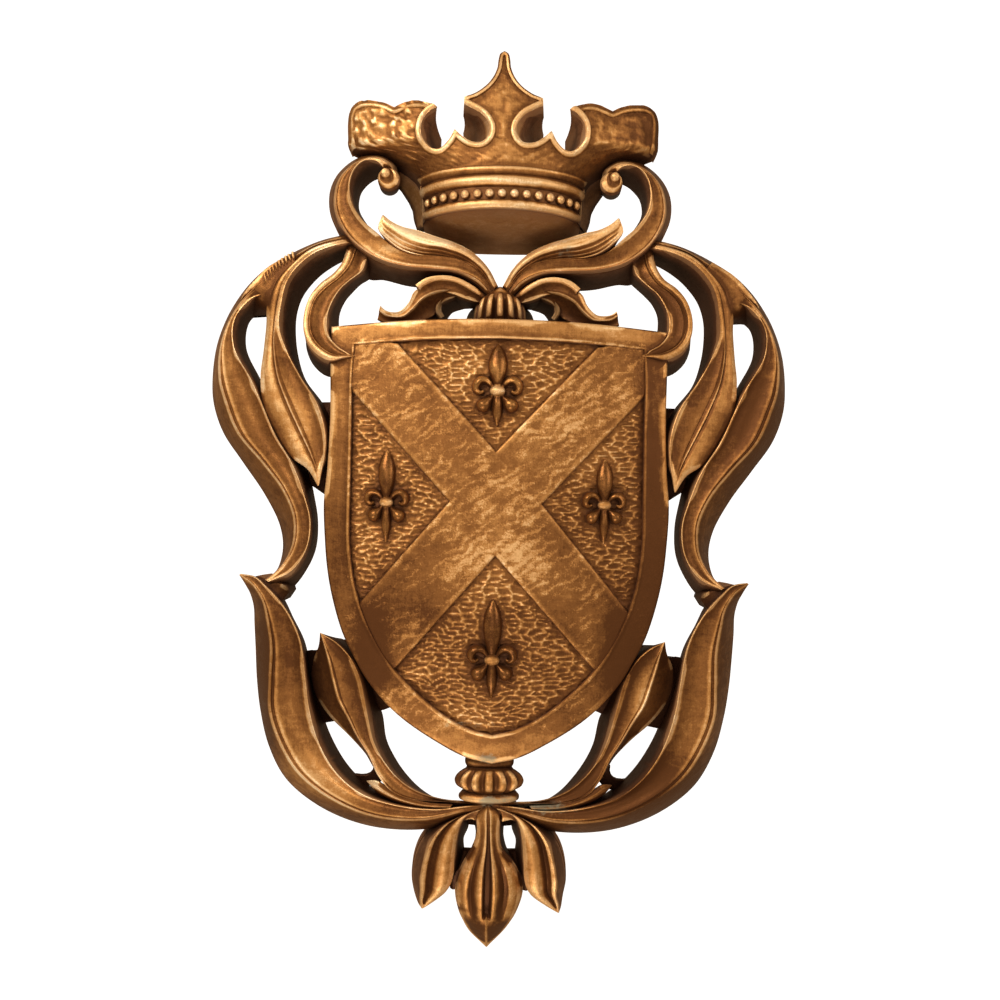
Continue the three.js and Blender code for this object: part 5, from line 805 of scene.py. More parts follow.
def rope(points, radius):
    """A round bar through points [x, z, h]."""
    p = spline(np.array(points, float), even([np.array(points, float)], 1.2))
    along = np.gradient(p, axis=0)
    along /= np.linalg.norm(along, axis=1, keepdims=True)
    side = np.cross(along, [0, 0, 1.0])
    side /= np.linalg.norm(side, axis=1, keepdims=True)
    up = np.cross(side, along)
    angle = np.linspace(0, 2 * math.pi, 11)[:-1]
    ring = (p[:, None] + radius * (np.cos(angle)[:, None] * side[:, None]
                                   + np.sin(angle)[:, None] * up[:, None]))
    return ring_loft(xzh(ring[..., 0], ring[..., 1], ring[..., 2]))


SOLIDS += [
    turned([[147.6, 1.8, 12], [146.4, 4.2, 16.4], [144.6, 6.4, 20.0], [142.4, 10.4, 22.4],
            [139.6, 13.6, 23.4], [137.6, 15.0, 23.6], [134, 14.4, 22]], 0.6, foot=1.15),
    turned([[141.2, 9.6, 21.6], [140.2, 13.0, 24.2], [138.2, 15.6, 26.4], [135.0, 17.4, 27.8],
            [131.4, 18.4, 27.8], [127.6, 18.9, 26.2], [124.2, 19.0, 23.6], [121.6, 18.2, 21.0],
            [117, 17, 19]], 0.6, 7, 0.2, (119, 142.4), sides=98, foot=1.33),
    turned([[-172, 15, 2], [-176, 16.2, 4.4], [-179, 16.8, 6.2], [-181.5, 17, 7],
            [-183.6, 16.4, 6.4], [-185.4, 15, 5]], 0.8, x0=-1.6, foot=0.8, base=30),
    turned([[-184.6, 14, 8], [-186.4, 18.4, 11], [-190, 23, 13.8], [-193.6, 24.4, 14.8],
            [-197.2, 23, 13.8], [-200, 18.8, 11], [-201.6, 16, 9]], 0.8, 7, 0.2, (-202, -184.4),
           sides=112, x0=-1.6, foot=0.6, base=30),
    turned([[-201.2, 16, 8], [-202.4, 19.4, 10.2], [-204.6, 21, 11.4], [-206.6, 20.8, 11],
            [-208, 18.6, 8.6], [-209, 15.5, 6], [-212, 12, 2], [-218, 9, 1]], 0.7,
           x0=-1.6, foot=0.6, base=30),
]


# a row of short serrations across the outer strand's shoulder
def serrations(start, end, h, count, half=2.7, radius=0.85):
    (x0, z0), (x1, z1) = start, end
    run = math.hypot(x1 - x0, z1 - z0)
    dx, dz = (x1 - x0) / run, (z1 - z0) / run
    for i in range(count):
        t = (i + 0.5) / count
        bow = 1.6 * math.sin(math.pi * t)
        x, z = x0 + (x1 - x0) * t - dz * -bow, z0 + (z1 - z0) * t + dx * -bow
        slant = 1.1 + 0.5 * (float(hash01(i, 71)[0]) - 0.5)
        yield rope([[x - dz * half + dx * slant, z + dx * half + dz * slant, h - 0.5],
                    [x, z, h + 0.15],
                    [x + dz * half - dx * slant, z - dx * half - dz * slant, h - 0.4]], radius)


SOLIDS += list(serrations((-141.5, 165.6), (-162.5, 148.6), 36.0, 10))


# The crest scrolls end in a curl that stands on the wall: [x, z, height, radius]
CURL = [
    [-79.6, 220.8, 46.0, 0.6], [-79.6, 220.8, 45.7, 2.0], [-79.5, 220.7, 44.6, 2.9],
    [-79.2, 220.3, 43.0, 3.4], [-78.8, 219.7, 42.2, 4.4], [-78.2, 218.7, 42.4, 5.8],
    [-77.8, 218.0, 41.2, 7.1], [-77.6, 217.8, 38.5, 7.7], [-78.4, 219.6, 30, 7.7],
    [-79.8, 222.4, 18, 7.5], [-81.2, 225.3, 7, 7.3], [-82.0, 227.1, 0, 7.2],
]


def curl(sign, dx):
    angle = np.linspace(0, 2 * math.pi, 31)[:-1]
    rings = [xzh(-sign * (x + dx) + r * np.cos(angle), z + r * np.sin(angle), h + 0 * angle)
             for x, z, h, r in CURL]
    return ring_loft(rings)


SOLIDS += [curl(-1, 0.0), curl(1, 3.0)]


# ------------------------------------------------------------------- crown --
FLARE = np.array(CROWN_FLARE, float)
FOOT = np.array(CROWN_FOOT, float)


def crown_width(z):
    return np.interp(z, FLARE[:, 0], FLARE[:, 1])


def crown_height(x, z):
    side = CROWN_SIDE_H + 9 * np.clip((np.asarray(z) - 200) / 60, 0, 1)
    return side + (CROWN_DEPTH - side) * np.sqrt(np.maximum(0, 1 - (x / crown_width(z)) ** 2))


def crown_shell():
    angle = np.linspace(0, math.pi, 131)
    rings = []
    for z in np.concatenate([[CROWN_LIP_Z], np.arange(197, 218, 3.0), np.arange(219, 299.5, 1.9), [302]]):
        w = crown_width(z)
        x = w * np.cos(angle)
        h = crown_height(x, z)
        arc = np.cumsum(np.concatenate([[0], np.hypot(np.diff(x), np.diff(h))]))
        rough = 0.3 + 0.75 * np.clip((-x - 26) / 30, 0, 1) + 0.2 * np.clip((x - 40) / 30, 0, 1)
        if z > 221:
            h = h + rough * (value_noise(arc, z + 0 * arc, 3.6, 3) * 0.8 + value_noise(arc, z + 0 * arc, 2.2, 7) * 0.45)
        ring = np.column_stack([x, -h, np.full(x.shape, z)])
        foot = float(np.interp(z, FOOT[:, 0], FOOT[:, 1]))
        wall = [[foot + (w - foot) * s, -ring[0, 1] * -1 * s * 1.0, z] for s in (0, 0.3, 0.6, 0.85)]
        wall = np.array([[a + 0.5 * float(value_noise(b, z, 5, 4)[0]) * (b < -1), b, c] for a, b, c in wall])
        rings.append(np.vstack([wall, ring, (wall * [-1, 1, 1])[::-1]]))
    return ring_loft(rings)


def crown_underside():
    rings = []
    for x in np.linspace(55.5, -55.5, 49):
        drop = CROWN_BACK_DROP * (1 - (x / 58) ** 4) + 0.5
        h = float(crown_height(x, CROWN_LIP_Z)) - 2.2
        ring = [[x, 0, CROWN_LIP_Z + 3], [x, -h, CROWN_LIP_Z + 3], [x, -h, CROWN_LIP_Z + 0.6]]
        ring += [[x, -h * (1 - t), CROWN_LIP_Z + 0.6 - (drop + 0.6) * t ** 0.85] for t in (0.25, 0.5, 0.75)]
        ring.append([x, 0, CROWN_LIP_Z - drop])
        rings.append(ring)
    return ring_loft(rings)


def polygon_prism(front, back, front_h=66.0):
    """A solid between two equal outlines [x, z], in front of and behind it."""
    from mathutils.geometry import tessellate_polygon
    front, back = np.array(front, float), np.array(back, float)
    n = len(front)
    tris = np.array(tessellate_polygon([[(x, z, 0) for x, z in front]]))
    area = np.cross(front[tris[:, 1]] - front[tris[:, 0]], front[tris[:, 2]] - front[tris[:, 0]])
    tris = tris[np.abs(area) > 1e-12]
    area = area[np.abs(area) > 1e-12]
    whole = 0.5 * np.sum(front[:, 0] * np.roll(front[:, 1], -1) - np.roll(front[:, 0], -1) * front[:, 1])
    tris = np.where((np.sign(area) == np.sign(whole))[:, None], tris, tris[:, ::-1])
    verts = np.vstack([xzh(front[:, 0], front[:, 1], front_h), xzh(back[:, 0], back[:, 1], -4.0)])
    j = np.arange(n)
    k = (j + 1) % n
    faces = np.vstack([tris, n + tris[:, ::-1], np.stack([j, n + j, n + k], -1), np.stack([j, n + k, k], -1)])
    return closed(verts, faces)


def smooth_line(points, spacing, corners=()):
    """Spline through points [x, z], kept sharp at the named indices."""
    points = np.array(points, float)
    cuts = [0, *corners, len(points) - 1]
    out = []
    for a, b in zip(cuts[:-1], cuts[1:]):
        seg = points[a:b + 1]
        if len(seg) == 2:
            out.append(seg[:-1])
            continue
        p3 = np.column_stack([seg, 0 * seg[:, 0]])
        out.append(spline(p3, even([p3], spacing, 3))[:-1, :2])
    out.append(points[-1:])
    return np.vstack(out)


def crown_outline():
    left = [[-60, 150], [-72, 186], [-68, 205], [-80, 222]]
    side = smooth_line(SIDE_FLEURON, 1.2, (9,))
    middle = smooth_line(MIDDLE_FLEURON, 1.0)
    half = np.vstack([left, side, middle])
    return np.vstack([half, (half[:-1] * [-1, 1])[::-1]])


def notch(sign):
    edge = smooth_line(NOTCH_FRONT, 1.0, (8,))
    n = len(edge)
    i = np.arange(n) / (n - 1)
    t = np.clip((i - 0.19) / 0.58, 0, 1)
    back = np.column_stack([NOTCH_BACK_X[0] * (1 - t) + NOTCH_BACK_X[1] * t,
                            np.maximum(edge[:, 1] + 9, NOTCH_BACK_FLOOR)])
    h = crown_height(edge[:, 0], edge[:, 1])
    s = (70 / (h + 4))[:, None]
    front = back + (edge - back) * s
    front = np.vstack([front, [[-26, 320], [-45, 320]]])
    back = np.vstack([back, [[-30, 320], [-44.4, 320]]])
    if sign > 0:
        front, back = front * [-1, 1], back * [-1, 1]
    return polygon_prism(front, back)


CROWN_MOULDINGS = [
    [222.4, -3], [222.0, 0.2], [221.2, 1.0], [220.2, 1.3], [219.0, 1.1], [218.0, 1.0],
    [217.2, 0.8], [216.6, 0.1], [216.0, 0.5], [215.2, 1.7], [213.8, 2.8], [212, 3.3],
    [210.2, 2.9], [208.8, 1.9], [208.1, 0.6], [207.6, -0.5], [206.8, -0.8], [203.5, -0.9],
    [200.6, -0.7], [199.9, 0.0], [199.3, 1.0], [198.2, 1.9], [196.8, 2.2], [195.3, 2.0],
    [194.1, 1.4], [193.5, 0.4], [193.4, -3],
]


def crown_moulding():
    rings = []
    for a in np.linspace(0.1, 0.9, 110) * math.pi:
        ring = []
        for z, rise in CROWN_MOULDINGS:
            w = float(crown_width(z))
            x = w * math.cos(a)
            ring.append([x + rise * math.cos(a), -(float(crown_height(x, z)) + rise * math.sin(a)), z])
        rings.append(ring)
    return ring_loft(rings)


def ball(centre, radius, rows=7, cols=12, squash=(1, 1, 1)):
    c = np.array(centre, float)
    verts = [c + [0, 0, radius * squash[2]]]
    for r in range(1, rows):
        a = math.pi * r / rows
        for q in range(cols):
            b = 2 * math.pi * q / cols
            verts.append(c + radius * np.array([math.sin(a) * math.cos(b) * squash[0],
                                                math.sin(a) * math.sin(b) * squash[1],
                                                math.cos(a) * squash[2]]))
    verts.append(c - [0, 0, radius * squash[2]])
    faces = []
    last = len(verts) - 1
    for q in range(cols):
        n = (q + 1) % cols
        faces.append([0, 1 + q, 1 + n])
        faces.append([last, last - cols + n, last - cols + q])
        for r in range(rows - 2):
            a, b = 1 + r * cols, 1 + (r + 1) * cols
            faces.append([a + q, b + q, b + n])
            faces.append([a + q, b + n, a + n])
    return closed(verts, faces)


def crown_beads():
    z = 203.2
    w = float(crown_width(z))
    a = np.linspace(0, math.pi / 2, 2000)
    run = np.concatenate([[0], np.cumsum(np.hypot(np.diff(w * np.sin(a)),
                                                  np.diff((CROWN_DEPTH - CROWN_SIDE_H) * np.cos(a))))])
    for i in range(-7, 8):
        wob = float(hash01(i + 50, 3)[0]) - 0.5
        angle = np.interp(abs(i) * 8.2 + wob * 0.5, run, a)
        x = math.copysign(w * math.sin(angle), i) if i else 0.0
        h = float(crown_height(x, z)) + 0.6
        yield ball([x * 1.01, -h, z + 0.2 * wob], 3.1 + 0.3 * wob, squash=(1, 1, 0.98))


def bar_on_crown(points, profile, lift=0.0, corners=(), spacing=1.3, sign=1):
    """A moulding along a line [x, z] on the crown's front: profile of [across, rise]."""
    line = smooth_line(points, spacing, corners)
    if sign > 0:
        line = line * [-1, 1]
    along = np.gradient(line, axis=0)
    along /= np.linalg.norm(along, axis=1, keepdims=True)
    side = np.stack([-along[:, 1], along[:, 0]], 1) * (-1 if sign > 0 else 1)
    rings = []
    for (x, z), (sx, sz) in zip(line, side):
        ring = []
        for across, rise in profile:
            px, pz = x + sx * across, z + sz * across
            ring.append([px, -(float(crown_height(px, pz)) + rise + lift), pz])
        rings.append(ring)
    return ring_loft(rings)


def crown_rims():
    rim = [[0.2, -6], [0.1, -0.6], [-0.4, 0.5], [-1.4, 1.25], [-2.8, 1.3], [-3.8, 0.6], [-4.3, -0.3], [-4.4, -6]]
    for sign in (-1, 1):
        yield bar_on_crown(NOTCH_FRONT, rim, corners=(8,), sign=sign)
        yield bar_on_crown(SIDE_FLEURON[2:], [[0.2, -7], [0.0, -2.2], [-0.6, -0.8], [-1.6, 0.3], [-3.2, 0.9],
                                          [-4.4, 0.5], [-5.0, -0.4], [-5.1, -7]], corners=(7,), sign=sign)
        yield bar_on_crown(MIDDLE_FLEURON, [[0.2, -7], [0.0, -0.8], [-0.5, 0.4], [-1.4, 1.2], [-2.6, 1.0],
                                            [-3.3, -0.2], [-3.4, -7]], sign=sign)


def solids_of_crown():
    yield crown_underside()
    yield crown_moulding()
    yield from crown_beads()


# ------------------------------------------------------------- one casting --
def to_object(name, verts, faces):
    mesh = bpy.data.meshes.new(name)
    verts = np.asarray(verts, np.float32)
    faces = np.asarray(faces, np.int32)
    mesh.vertices.add(len(verts))
    mesh.vertices.foreach_set("co", verts.ravel())
    mesh.loops.add(faces.size)
    mesh.loops.foreach_set("vertex_index", faces.ravel())
    mesh.polygons.add(len(faces))
    mesh.polygons.foreach_set("loop_start", np.arange(0, faces.size, 3, dtype=np.int32))
    mesh.polygons.foreach_set("loop_total", np.full(len(faces), 3, np.int32))
    mesh.update(calc_edges=True)
    mesh.validate()
    obj = bpy.data.objects.new(name, mesh)
    bpy.context.scene.collection.objects.link(obj)
    return obj


def boolean(base, others, operation):
    """base joined with, or cut by, the others; the others are removed."""
    group = bpy.data.collections.new("operands")
    for o in others:
        group.objects.link(o)
    mod = base.modifiers.new("bool", "BOOLEAN")
    mod.operation = operation
    mod.operand_type = "COLLECTION"
    mod.collection = group
    mod.solver = "MANIFOLD"
    deps = bpy.context.evaluated_depsgraph_get()
    deps.update()
    mesh = bpy.data.meshes.new_from_object(base.evaluated_get(deps))
    base.modifiers.clear()
    old = base.data
    base.data = mesh
    bpy.data.meshes.remove(old)
    for o in others:
        m = o.data
        bpy.data.objects.remove(o)
        bpy.data.meshes.remove(m)
    bpy.data.collections.remove(group)
    return base


def make(solids, name):
    return [to_object(f"{name}_{i}", *s) for i, s in enumerate(solids)]


def tidy(obj):
    """Merges the points that thinning left on top of each other, drops the slivers
    that hang on them and closes the pinholes."""
    bm = bmesh.new()
    bm.from_mesh(obj.data)
    bmesh.ops.remove_doubles(bm, verts=bm.verts[:], dist=0.012)
    bmesh.ops.dissolve_degenerate(bm, edges=bm.edges[:], dist=0.003)
    bmesh.ops.triangulate(bm, faces=[f for f in bm.faces if len(f.verts) > 3])
    seen, loose = set(), []
    for first in bm.faces:
        if first in seen:
            continue
        seen.add(first)
        patch, stack = [], [first]
        while stack:
            f = stack.pop()
            patch.append(f)
            for e in f.edges:
                if len(e.link_faces) == 2:
                    for n in e.link_faces:
                        if n not in seen:
                            seen.add(n)
                            stack.append(n)
        if len(patch) < 200:
            loose += patch
    bmesh.ops.delete(bm, geom=loose, context="FACES")
    bmesh.ops.holes_fill(bm, edges=[e for e in bm.edges if len(e.link_faces) == 1], sides=10)
    bmesh.ops.triangulate(bm, faces=[f for f in bm.faces if len(f.verts) > 3])
    bmesh.ops.delete(bm, geom=[v for v in bm.verts if not v.link_faces], context="VERTS")
    bm.to_mesh(obj.data)
    bm.free()
    obj.data.validate()
    obj.data.update()


crown = make([crown_shell()], "crown")[0]
boolean(crown, make(list(crown_rims()), "rim"), "UNION")
boolean(crown, make([polygon_prism(crown_outline(), crown_outline())], "cut"), "INTERSECT")
boolean(crown, make([notch(-1), notch(1)], "cut"), "DIFFERENCE")
plaque = boolean(crown, make(SOLIDS + list(solids_of_crown()), "part"), "UNION")
thin = plaque.modifiers.new("thin", "DECIMATE")
thin.ratio = min(1.0, 192000 / max(1, sum(len(p.vertices) - 2 for p in plaque.data.polygons)))
deps = bpy.context.evaluated_depsgraph_get()
deps.update()
plaque.data = bpy.data.meshes.new_from_object(plaque.evaluated_get(deps))
plaque.modifiers.clear()
tidy(plaque)
plaque.name = "coat_of_arms_relief"
plaque.data.name = "coat_of_arms_relief"


# ------------------------------------------- how worn or hidden each spot is, and where light is painted --
def height_map(verts, faces, cell=1.0):
    """Front height on a grid over the plaque, 0 where there is nothing."""
    x0, z0 = verts[:, 0].min() - 4, verts[:, 2].min() - 4
    nx = int((verts[:, 0].max() + 4 - x0) / cell) + 1
    nz = int((verts[:, 2].max() + 4 - z0) / cell) + 1
    grid = np.zeros((nx, nz))
    a, b, c = (verts[faces[:, k]] for k in range(3))
    span = np.max([np.abs(a - b)[:, (0, 2)].max(1), np.abs(b - c)[:, (0, 2)].max(1),
                   np.abs(c - a)[:, (0, 2)].max(1)], axis=0)
    front = np.cross(b - a, c - a)[:, 1] < 0
    steps = np.minimum(np.ceil(span / (0.6 * cell)).astype(int), 160)
    for n in np.unique(steps[front]):
        pick = front & (steps == n)
        n = max(int(n), 1)
        u, v = np.meshgrid(np.arange(n + 1) / n, np.arange(n + 1) / n, indexing="ij")
        keep = u + v <= 1 + 1e-9
        for s, r in zip(u[keep], v[keep]):
            p = a[pick] * (1 - s - r) + b[pick] * s + c[pick] * r
            i = ((p[:, 0] - x0) / cell + 0.5).astype(int)
            j = ((p[:, 2] - z0) / cell + 0.5).astype(int)
            np.maximum.at(grid, (i, j), -p[:, 1])
    return grid, x0, z0, cell


def blurred(grid, sigma):
    n = int(3 * sigma) + 1
    k = np.exp(-0.5 * (np.arange(-n, n + 1) / sigma) ** 2)
    k /= k.sum()
    out = np.apply_along_axis(lambda r: np.convolve(r, k, mode="same"), 0, grid)
    return np.apply_along_axis(lambda r: np.convolve(r, k, mode="same"), 1, out)


def on_grid(grid, x, z, x0, z0, cell):
    u = np.clip((x - x0) / cell, 0, grid.shape[0] - 1.001)
    v = np.clip((z - z0) / cell, 0, grid.shape[1] - 1.001)
    i, j = u.astype(int), v.astype(int)
    u, v = u - i, v - j
    return ((grid[i, j] * (1 - u) + grid[i + 1, j] * u) * (1 - v)
            + (grid[i, j + 1] * (1 - u) + grid[i + 1, j + 1] * u) * v)


def surface_marks(mesh):
    verts = np.empty(len(mesh.vertices) * 3, np.float32)
    mesh.vertices.foreach_get("co", verts)
    verts = verts.reshape(-1, 3).astype(float)
    mesh.calc_loop_triangles()
    faces = np.empty(len(mesh.loop_triangles) * 3, np.int32)
    mesh.loop_triangles.foreach_get("vertices", faces)
    grid, x0, z0, cell = height_map(verts, faces.reshape(-1, 3))
    there = (grid > 0).astype(float)
    x, z, h = verts[:, 0], verts[:, 2], -verts[:, 1]

    def over(sigma):
        mean = blurred(grid, sigma) / np.maximum(blurred(there, sigma), 1e-3)
        return h - on_grid(mean, x, z, x0, z0, cell)

    wear = over(1.6)
    wide = over(7.0)
    # how near the open outside of the whole plaque, not its openings
    empty = grid <= 0
    out = empty.copy()
    out[1:-1, 1:-1] = False
    while True:
        grown = out.copy()
        grown[1:] |= out[:-1]
        grown[:-1] |= out[1:]
        grown[:, 1:] |= out[:, :-1]
        grown[:, :-1] |= out[:, 1:]
        grown &= empty
        if np.array_equal(grown, out):
            break
        out = grown
    outside = on_grid(blurred(out.astype(float), 4.0), x, z, x0, z0, cell)

    # how much of the sky each spot sees, used for painted shade in the hollows
    open_sky = np.zeros(len(verts))
    turns = 16
    for k in range(turns):
        ux, uz = math.cos(2 * math.pi * k / turns), math.sin(2 * math.pi * k / turns)
        horizon = np.zeros(len(verts))
        for d in (1.5, 2.5, 4, 6, 9, 13, 19, 27, 38):
            rise = on_grid(grid, x + ux * d, z + uz * d, x0, z0, cell) - h
            horizon = np.maximum(horizon, rise / np.hypot(rise, d))
        open_sky += (1 - horizon) / turns
    return {"wear": wear, "wide": wide, "open_sky": open_sky, "outside": outside, **patina_and_painted_light(x, z, h)}


def on_flank(x, z, h):
    """1 on the crown's side walls, which run back from the front to the foot."""
    front, foot = crown_width(z), np.interp(z, FOOT[:, 0], FOOT[:, 1])
    side = CROWN_SIDE_H + 9 * np.clip((z - 200) / 60, 0, 1)
    wall = foot + (front - foot) * np.clip(h / side, 0, 1)
    near = (np.abs(np.abs(x) - wall) < 2.2) & (h < side + 3) & (z > CROWN_LIP_Z) & (z < 262)
    return near * np.clip((262 - z) / 8, 0, 1) * np.clip((h - 1) / 5, 0, 1)


# Where the gilding is painted brighter (+) or darker (-): partly real rubbing and dulling, partly painted light and
# shade, such as the painted reflection on the saltire's middle, the shaded sides of the border and the shaded lower
# right leaf: [x, z, rx, rz, amount]
RUBBED_AND_LIT = [
    [-75, 170, 16, 7, 0.5], [-128, 172, 14, 5, 0.45], [-14, -152, 22, 12, 0.3],
    [-118, -190, 34, 18, 0.45], [-101, -200, 28, 14, 0.35], [0, -22, 26, 24, 0.2], [20, -48, 34, 18, 0.16],
    [-154, 152, 12, 12, -0.35], [-161.5, 135, 8, 8, -0.7], [0, 113, 80, 8, -0.05], [-96, 262, 20, 16, 0.3],
    [-140, 40, 14, 30, 0.2], [100, -204, 40, 20, -1.0], [108, -20, 9, 90, -0.85],
    [-108, -40, 8, 80, -0.35], [88, -110, 12, 40, -0.85], [-84, -112, 12, 36, -0.8],
    [176, 60, 26, 60, -0.12], [140, 140, 26, 24, -0.45], [60, -60, 24, 22, -0.02],
    [112, 250, 26, 26, -0.2], [-128, -110, 18, 40, -0.2], [-159, -136, 9, 50, -0.6],
    [103, -132, 12, 24, 0.6], [-56, 177, 32, 9, 0.42], [58, 178, 32, 9, 0.3], [0, 208, 60, 12, 0.15],
    [0, 242, 60, 18, 0.14], [84, 113, 36, 8, 0.3], [-180, 60, 24, 60, 0.14], [143, -125, 16, 50, 0.16],
    [0, -275, 24, 30, -0.42], [-40, -250, 14, 24, -0.15], [40, -250, 14, 24, -0.15], [-2, -193, 26, 8, -0.35], [0, -110, 46, 34, -0.18],
    [-58, -64, 26, 26, -0.16], [50, 58, 30, 30, 0.18], [0, 84, 40, 16, 0.2],
]
# Verdigris: [x, z, rx, rz, amount]
VERDIGRIS = [
    [-3, -176, 9, 4.5, 1.0], [8, -205, 16, 3.5, 0.7], [34, -212, 26, 4.5, 0.75],
    [-20, -153, 34, 2.6, 0.45], [44, 170, 7, 5, 0.55], [-3, -208, 6, 5, 0.6],
    [10, 214, 60, 2.2, 0.3], [78, 192, 5, 10, 0.3],
]


def patina_and_painted_light(x, z, h):
    def blobs(rows):
        total = np.zeros(len(x))
        for cx, cz, rx, rz, amount in rows:
            total += amount * np.exp(-((x - cx) / rx) ** 2 - ((z - cz) / rz) ** 2)
        return total

    rise = h - (shield_height(x, z) - FIELD_DEPTH)
    lily_dark = np.zeros(len(x))
    for cx, cz, k, up, low in LILIES:
        near = (np.abs(x - cx) < 19 * k) & (z - cz < 33 * k * up) & (cz - z < 28 * k * low)
        edge = np.abs(x - cx) / k + np.where(z > cz, (z - cz) / (2.2 * up), (cz - z) / (2.0 * low)) / k
        near &= edge < 22
        boss = ((x - cx) / 5.6 / k) ** 2 + ((z - cz) / 4.6 / k) ** 2 < 1
        lily_dark = np.where(near, np.clip((rise - 0.9) / 0.8, 0, 1) * (1 - 1.3 * boss), lily_dark)
    # The crown's underside and side walls, painted lighter in the material as if lit, the left side walls more than the
    # right.
    front = crown_height(np.clip(x, -56, 56), CROWN_LIP_Z) - 2.2
    drop = CROWN_BACK_DROP * (1 - (x / 58) ** 4) + 0.5
    surface = CROWN_LIP_Z + 0.6 - (drop + 0.6) * np.clip(1 - h / front, 0, 1) ** 0.85
    under = ((np.abs(x) < 57) & (np.abs(z - surface) < 1.8) & (h < front + 1.5)).astype(float)
    arms = np.clip((SHIELD_HALF_WIDTH - 14 - np.abs(x)) / 3, 0, 1) * (rise > 1.3) * (lily_dark < 0.5)
    arms *= (z < 108) & (z > -158)
    # Painted light and shade: the bright and dull patches above, and the left side painted lighter and the right
    # darker, as if lit from the left.
    return {"rubbed_and_lit": blobs(RUBBED_AND_LIT) + 0.10 * np.clip(-x / 200, -1, 1), "verdigris": blobs(VERDIGRIS),
            "lily_dark": lily_dark, "under": np.maximum(under, on_flank(x, z, h) * np.where(x < 0, 1.0, 0.55)), "arms": arms.astype(float)}


for mark, values in surface_marks(plaque.data).items():
    layer = plaque.data.attributes.new(mark, "FLOAT", "POINT")
    layer.data.foreach_set("value", np.asarray(values, np.float32))

verts = np.empty(len(plaque.data.vertices) * 3, np.float32)
plaque.data.vertices.foreach_get("co", verts)
plaque.data.vertices.foreach_set("co", verts * np.float32(MM))
plaque.data.update()
plaque.data.shade_smooth()
plaque.data.set_sharp_from_angle(angle=math.radians(38))


# -------------------------------------------------------------- antique gold --
class Graph:
    """Short hand for building a node tree."""

    def __init__(self, material):
        material.use_nodes = True
        self.tree = material.node_tree
        self.tree.nodes.clear()

    def node(self, kind, **values):
        n = self.tree.nodes.new(kind)
        for key, value in values.items():
            setattr(n, key, value)
        return n

    def plug(self, value, socket):
        if isinstance(value, bpy.types.NodeSocket):
            self.tree.links.new(value, socket)
        else:
            socket.default_value = value

    def math(self, op, a, b=0.0, c=0.0, clamp=False):
        n = self.node("ShaderNodeMath", operation=op, use_clamp=clamp)
        for value, socket in zip((a, b, c), n.inputs):
            self.plug(value, socket)
        return n.outputs[0]

    def mix(self, t, a, b):
        n = self.node("ShaderNodeMix", data_type="RGBA", blend_type="MIX")
        self.plug(t, n.inputs[0])
        self.plug(a, n.inputs[6])
        self.plug(b, n.inputs[7])
        return n.outputs[2]

    def tint(self, kind, t, a, b):
        n = self.node("ShaderNodeMix", data_type="RGBA", blend_type=kind)
        self.plug(t, n.inputs[0])
        self.plug(a, n.inputs[6])
        self.plug(b, n.inputs[7])
        return n.outputs[2]

    def span(self, value, low, high, to_low=0.0, to_high=1.0):
        n = self.node("ShaderNodeMapRange", clamp=True, interpolation_type="SMOOTHSTEP")
        self.plug(value, n.inputs[0])
        for k, v in enumerate((low, high, to_low, to_high)):
            n.inputs[1 + k].default_value = v
        return n.outputs[0]

    def noise(self, vector, scale, detail=4.0, rough=0.55, stretch=(1, 1, 1), offset=(0, 0, 0), twist=0.0):
        m = self.node("ShaderNodeMapping")
        self.plug(vector, m.inputs[0])
        m.inputs[1].default_value = offset
        m.inputs[3].default_value = stretch
        n = self.node("ShaderNodeTexNoise", noise_dimensions="3D")
        self.tree.links.new(m.outputs[0], n.inputs["Vector"])
        n.inputs["Scale"].default_value = scale
        n.inputs["Detail"].default_value = detail
        n.inputs["Roughness"].default_value = rough
        n.inputs["Distortion"].default_value = twist
        return n.outputs["Fac"]

    def wave(self, vector, scale, turn, twist, detail, detail_scale):
        m = self.node("ShaderNodeMapping")
        self.plug(vector, m.inputs[0])
        m.inputs[2].default_value = turn
        n = self.node("ShaderNodeTexWave", wave_type="BANDS", bands_direction="X")
        self.tree.links.new(m.outputs[0], n.inputs["Vector"])
        n.inputs["Scale"].default_value = scale
        n.inputs["Distortion"].default_value = twist
        n.inputs["Detail"].default_value = detail
        n.inputs["Detail Scale"].default_value = detail_scale
        return n.outputs["Fac"]

    def mark(self, name):
        return self.node("ShaderNodeAttribute", attribute_name=name).outputs["Fac"]


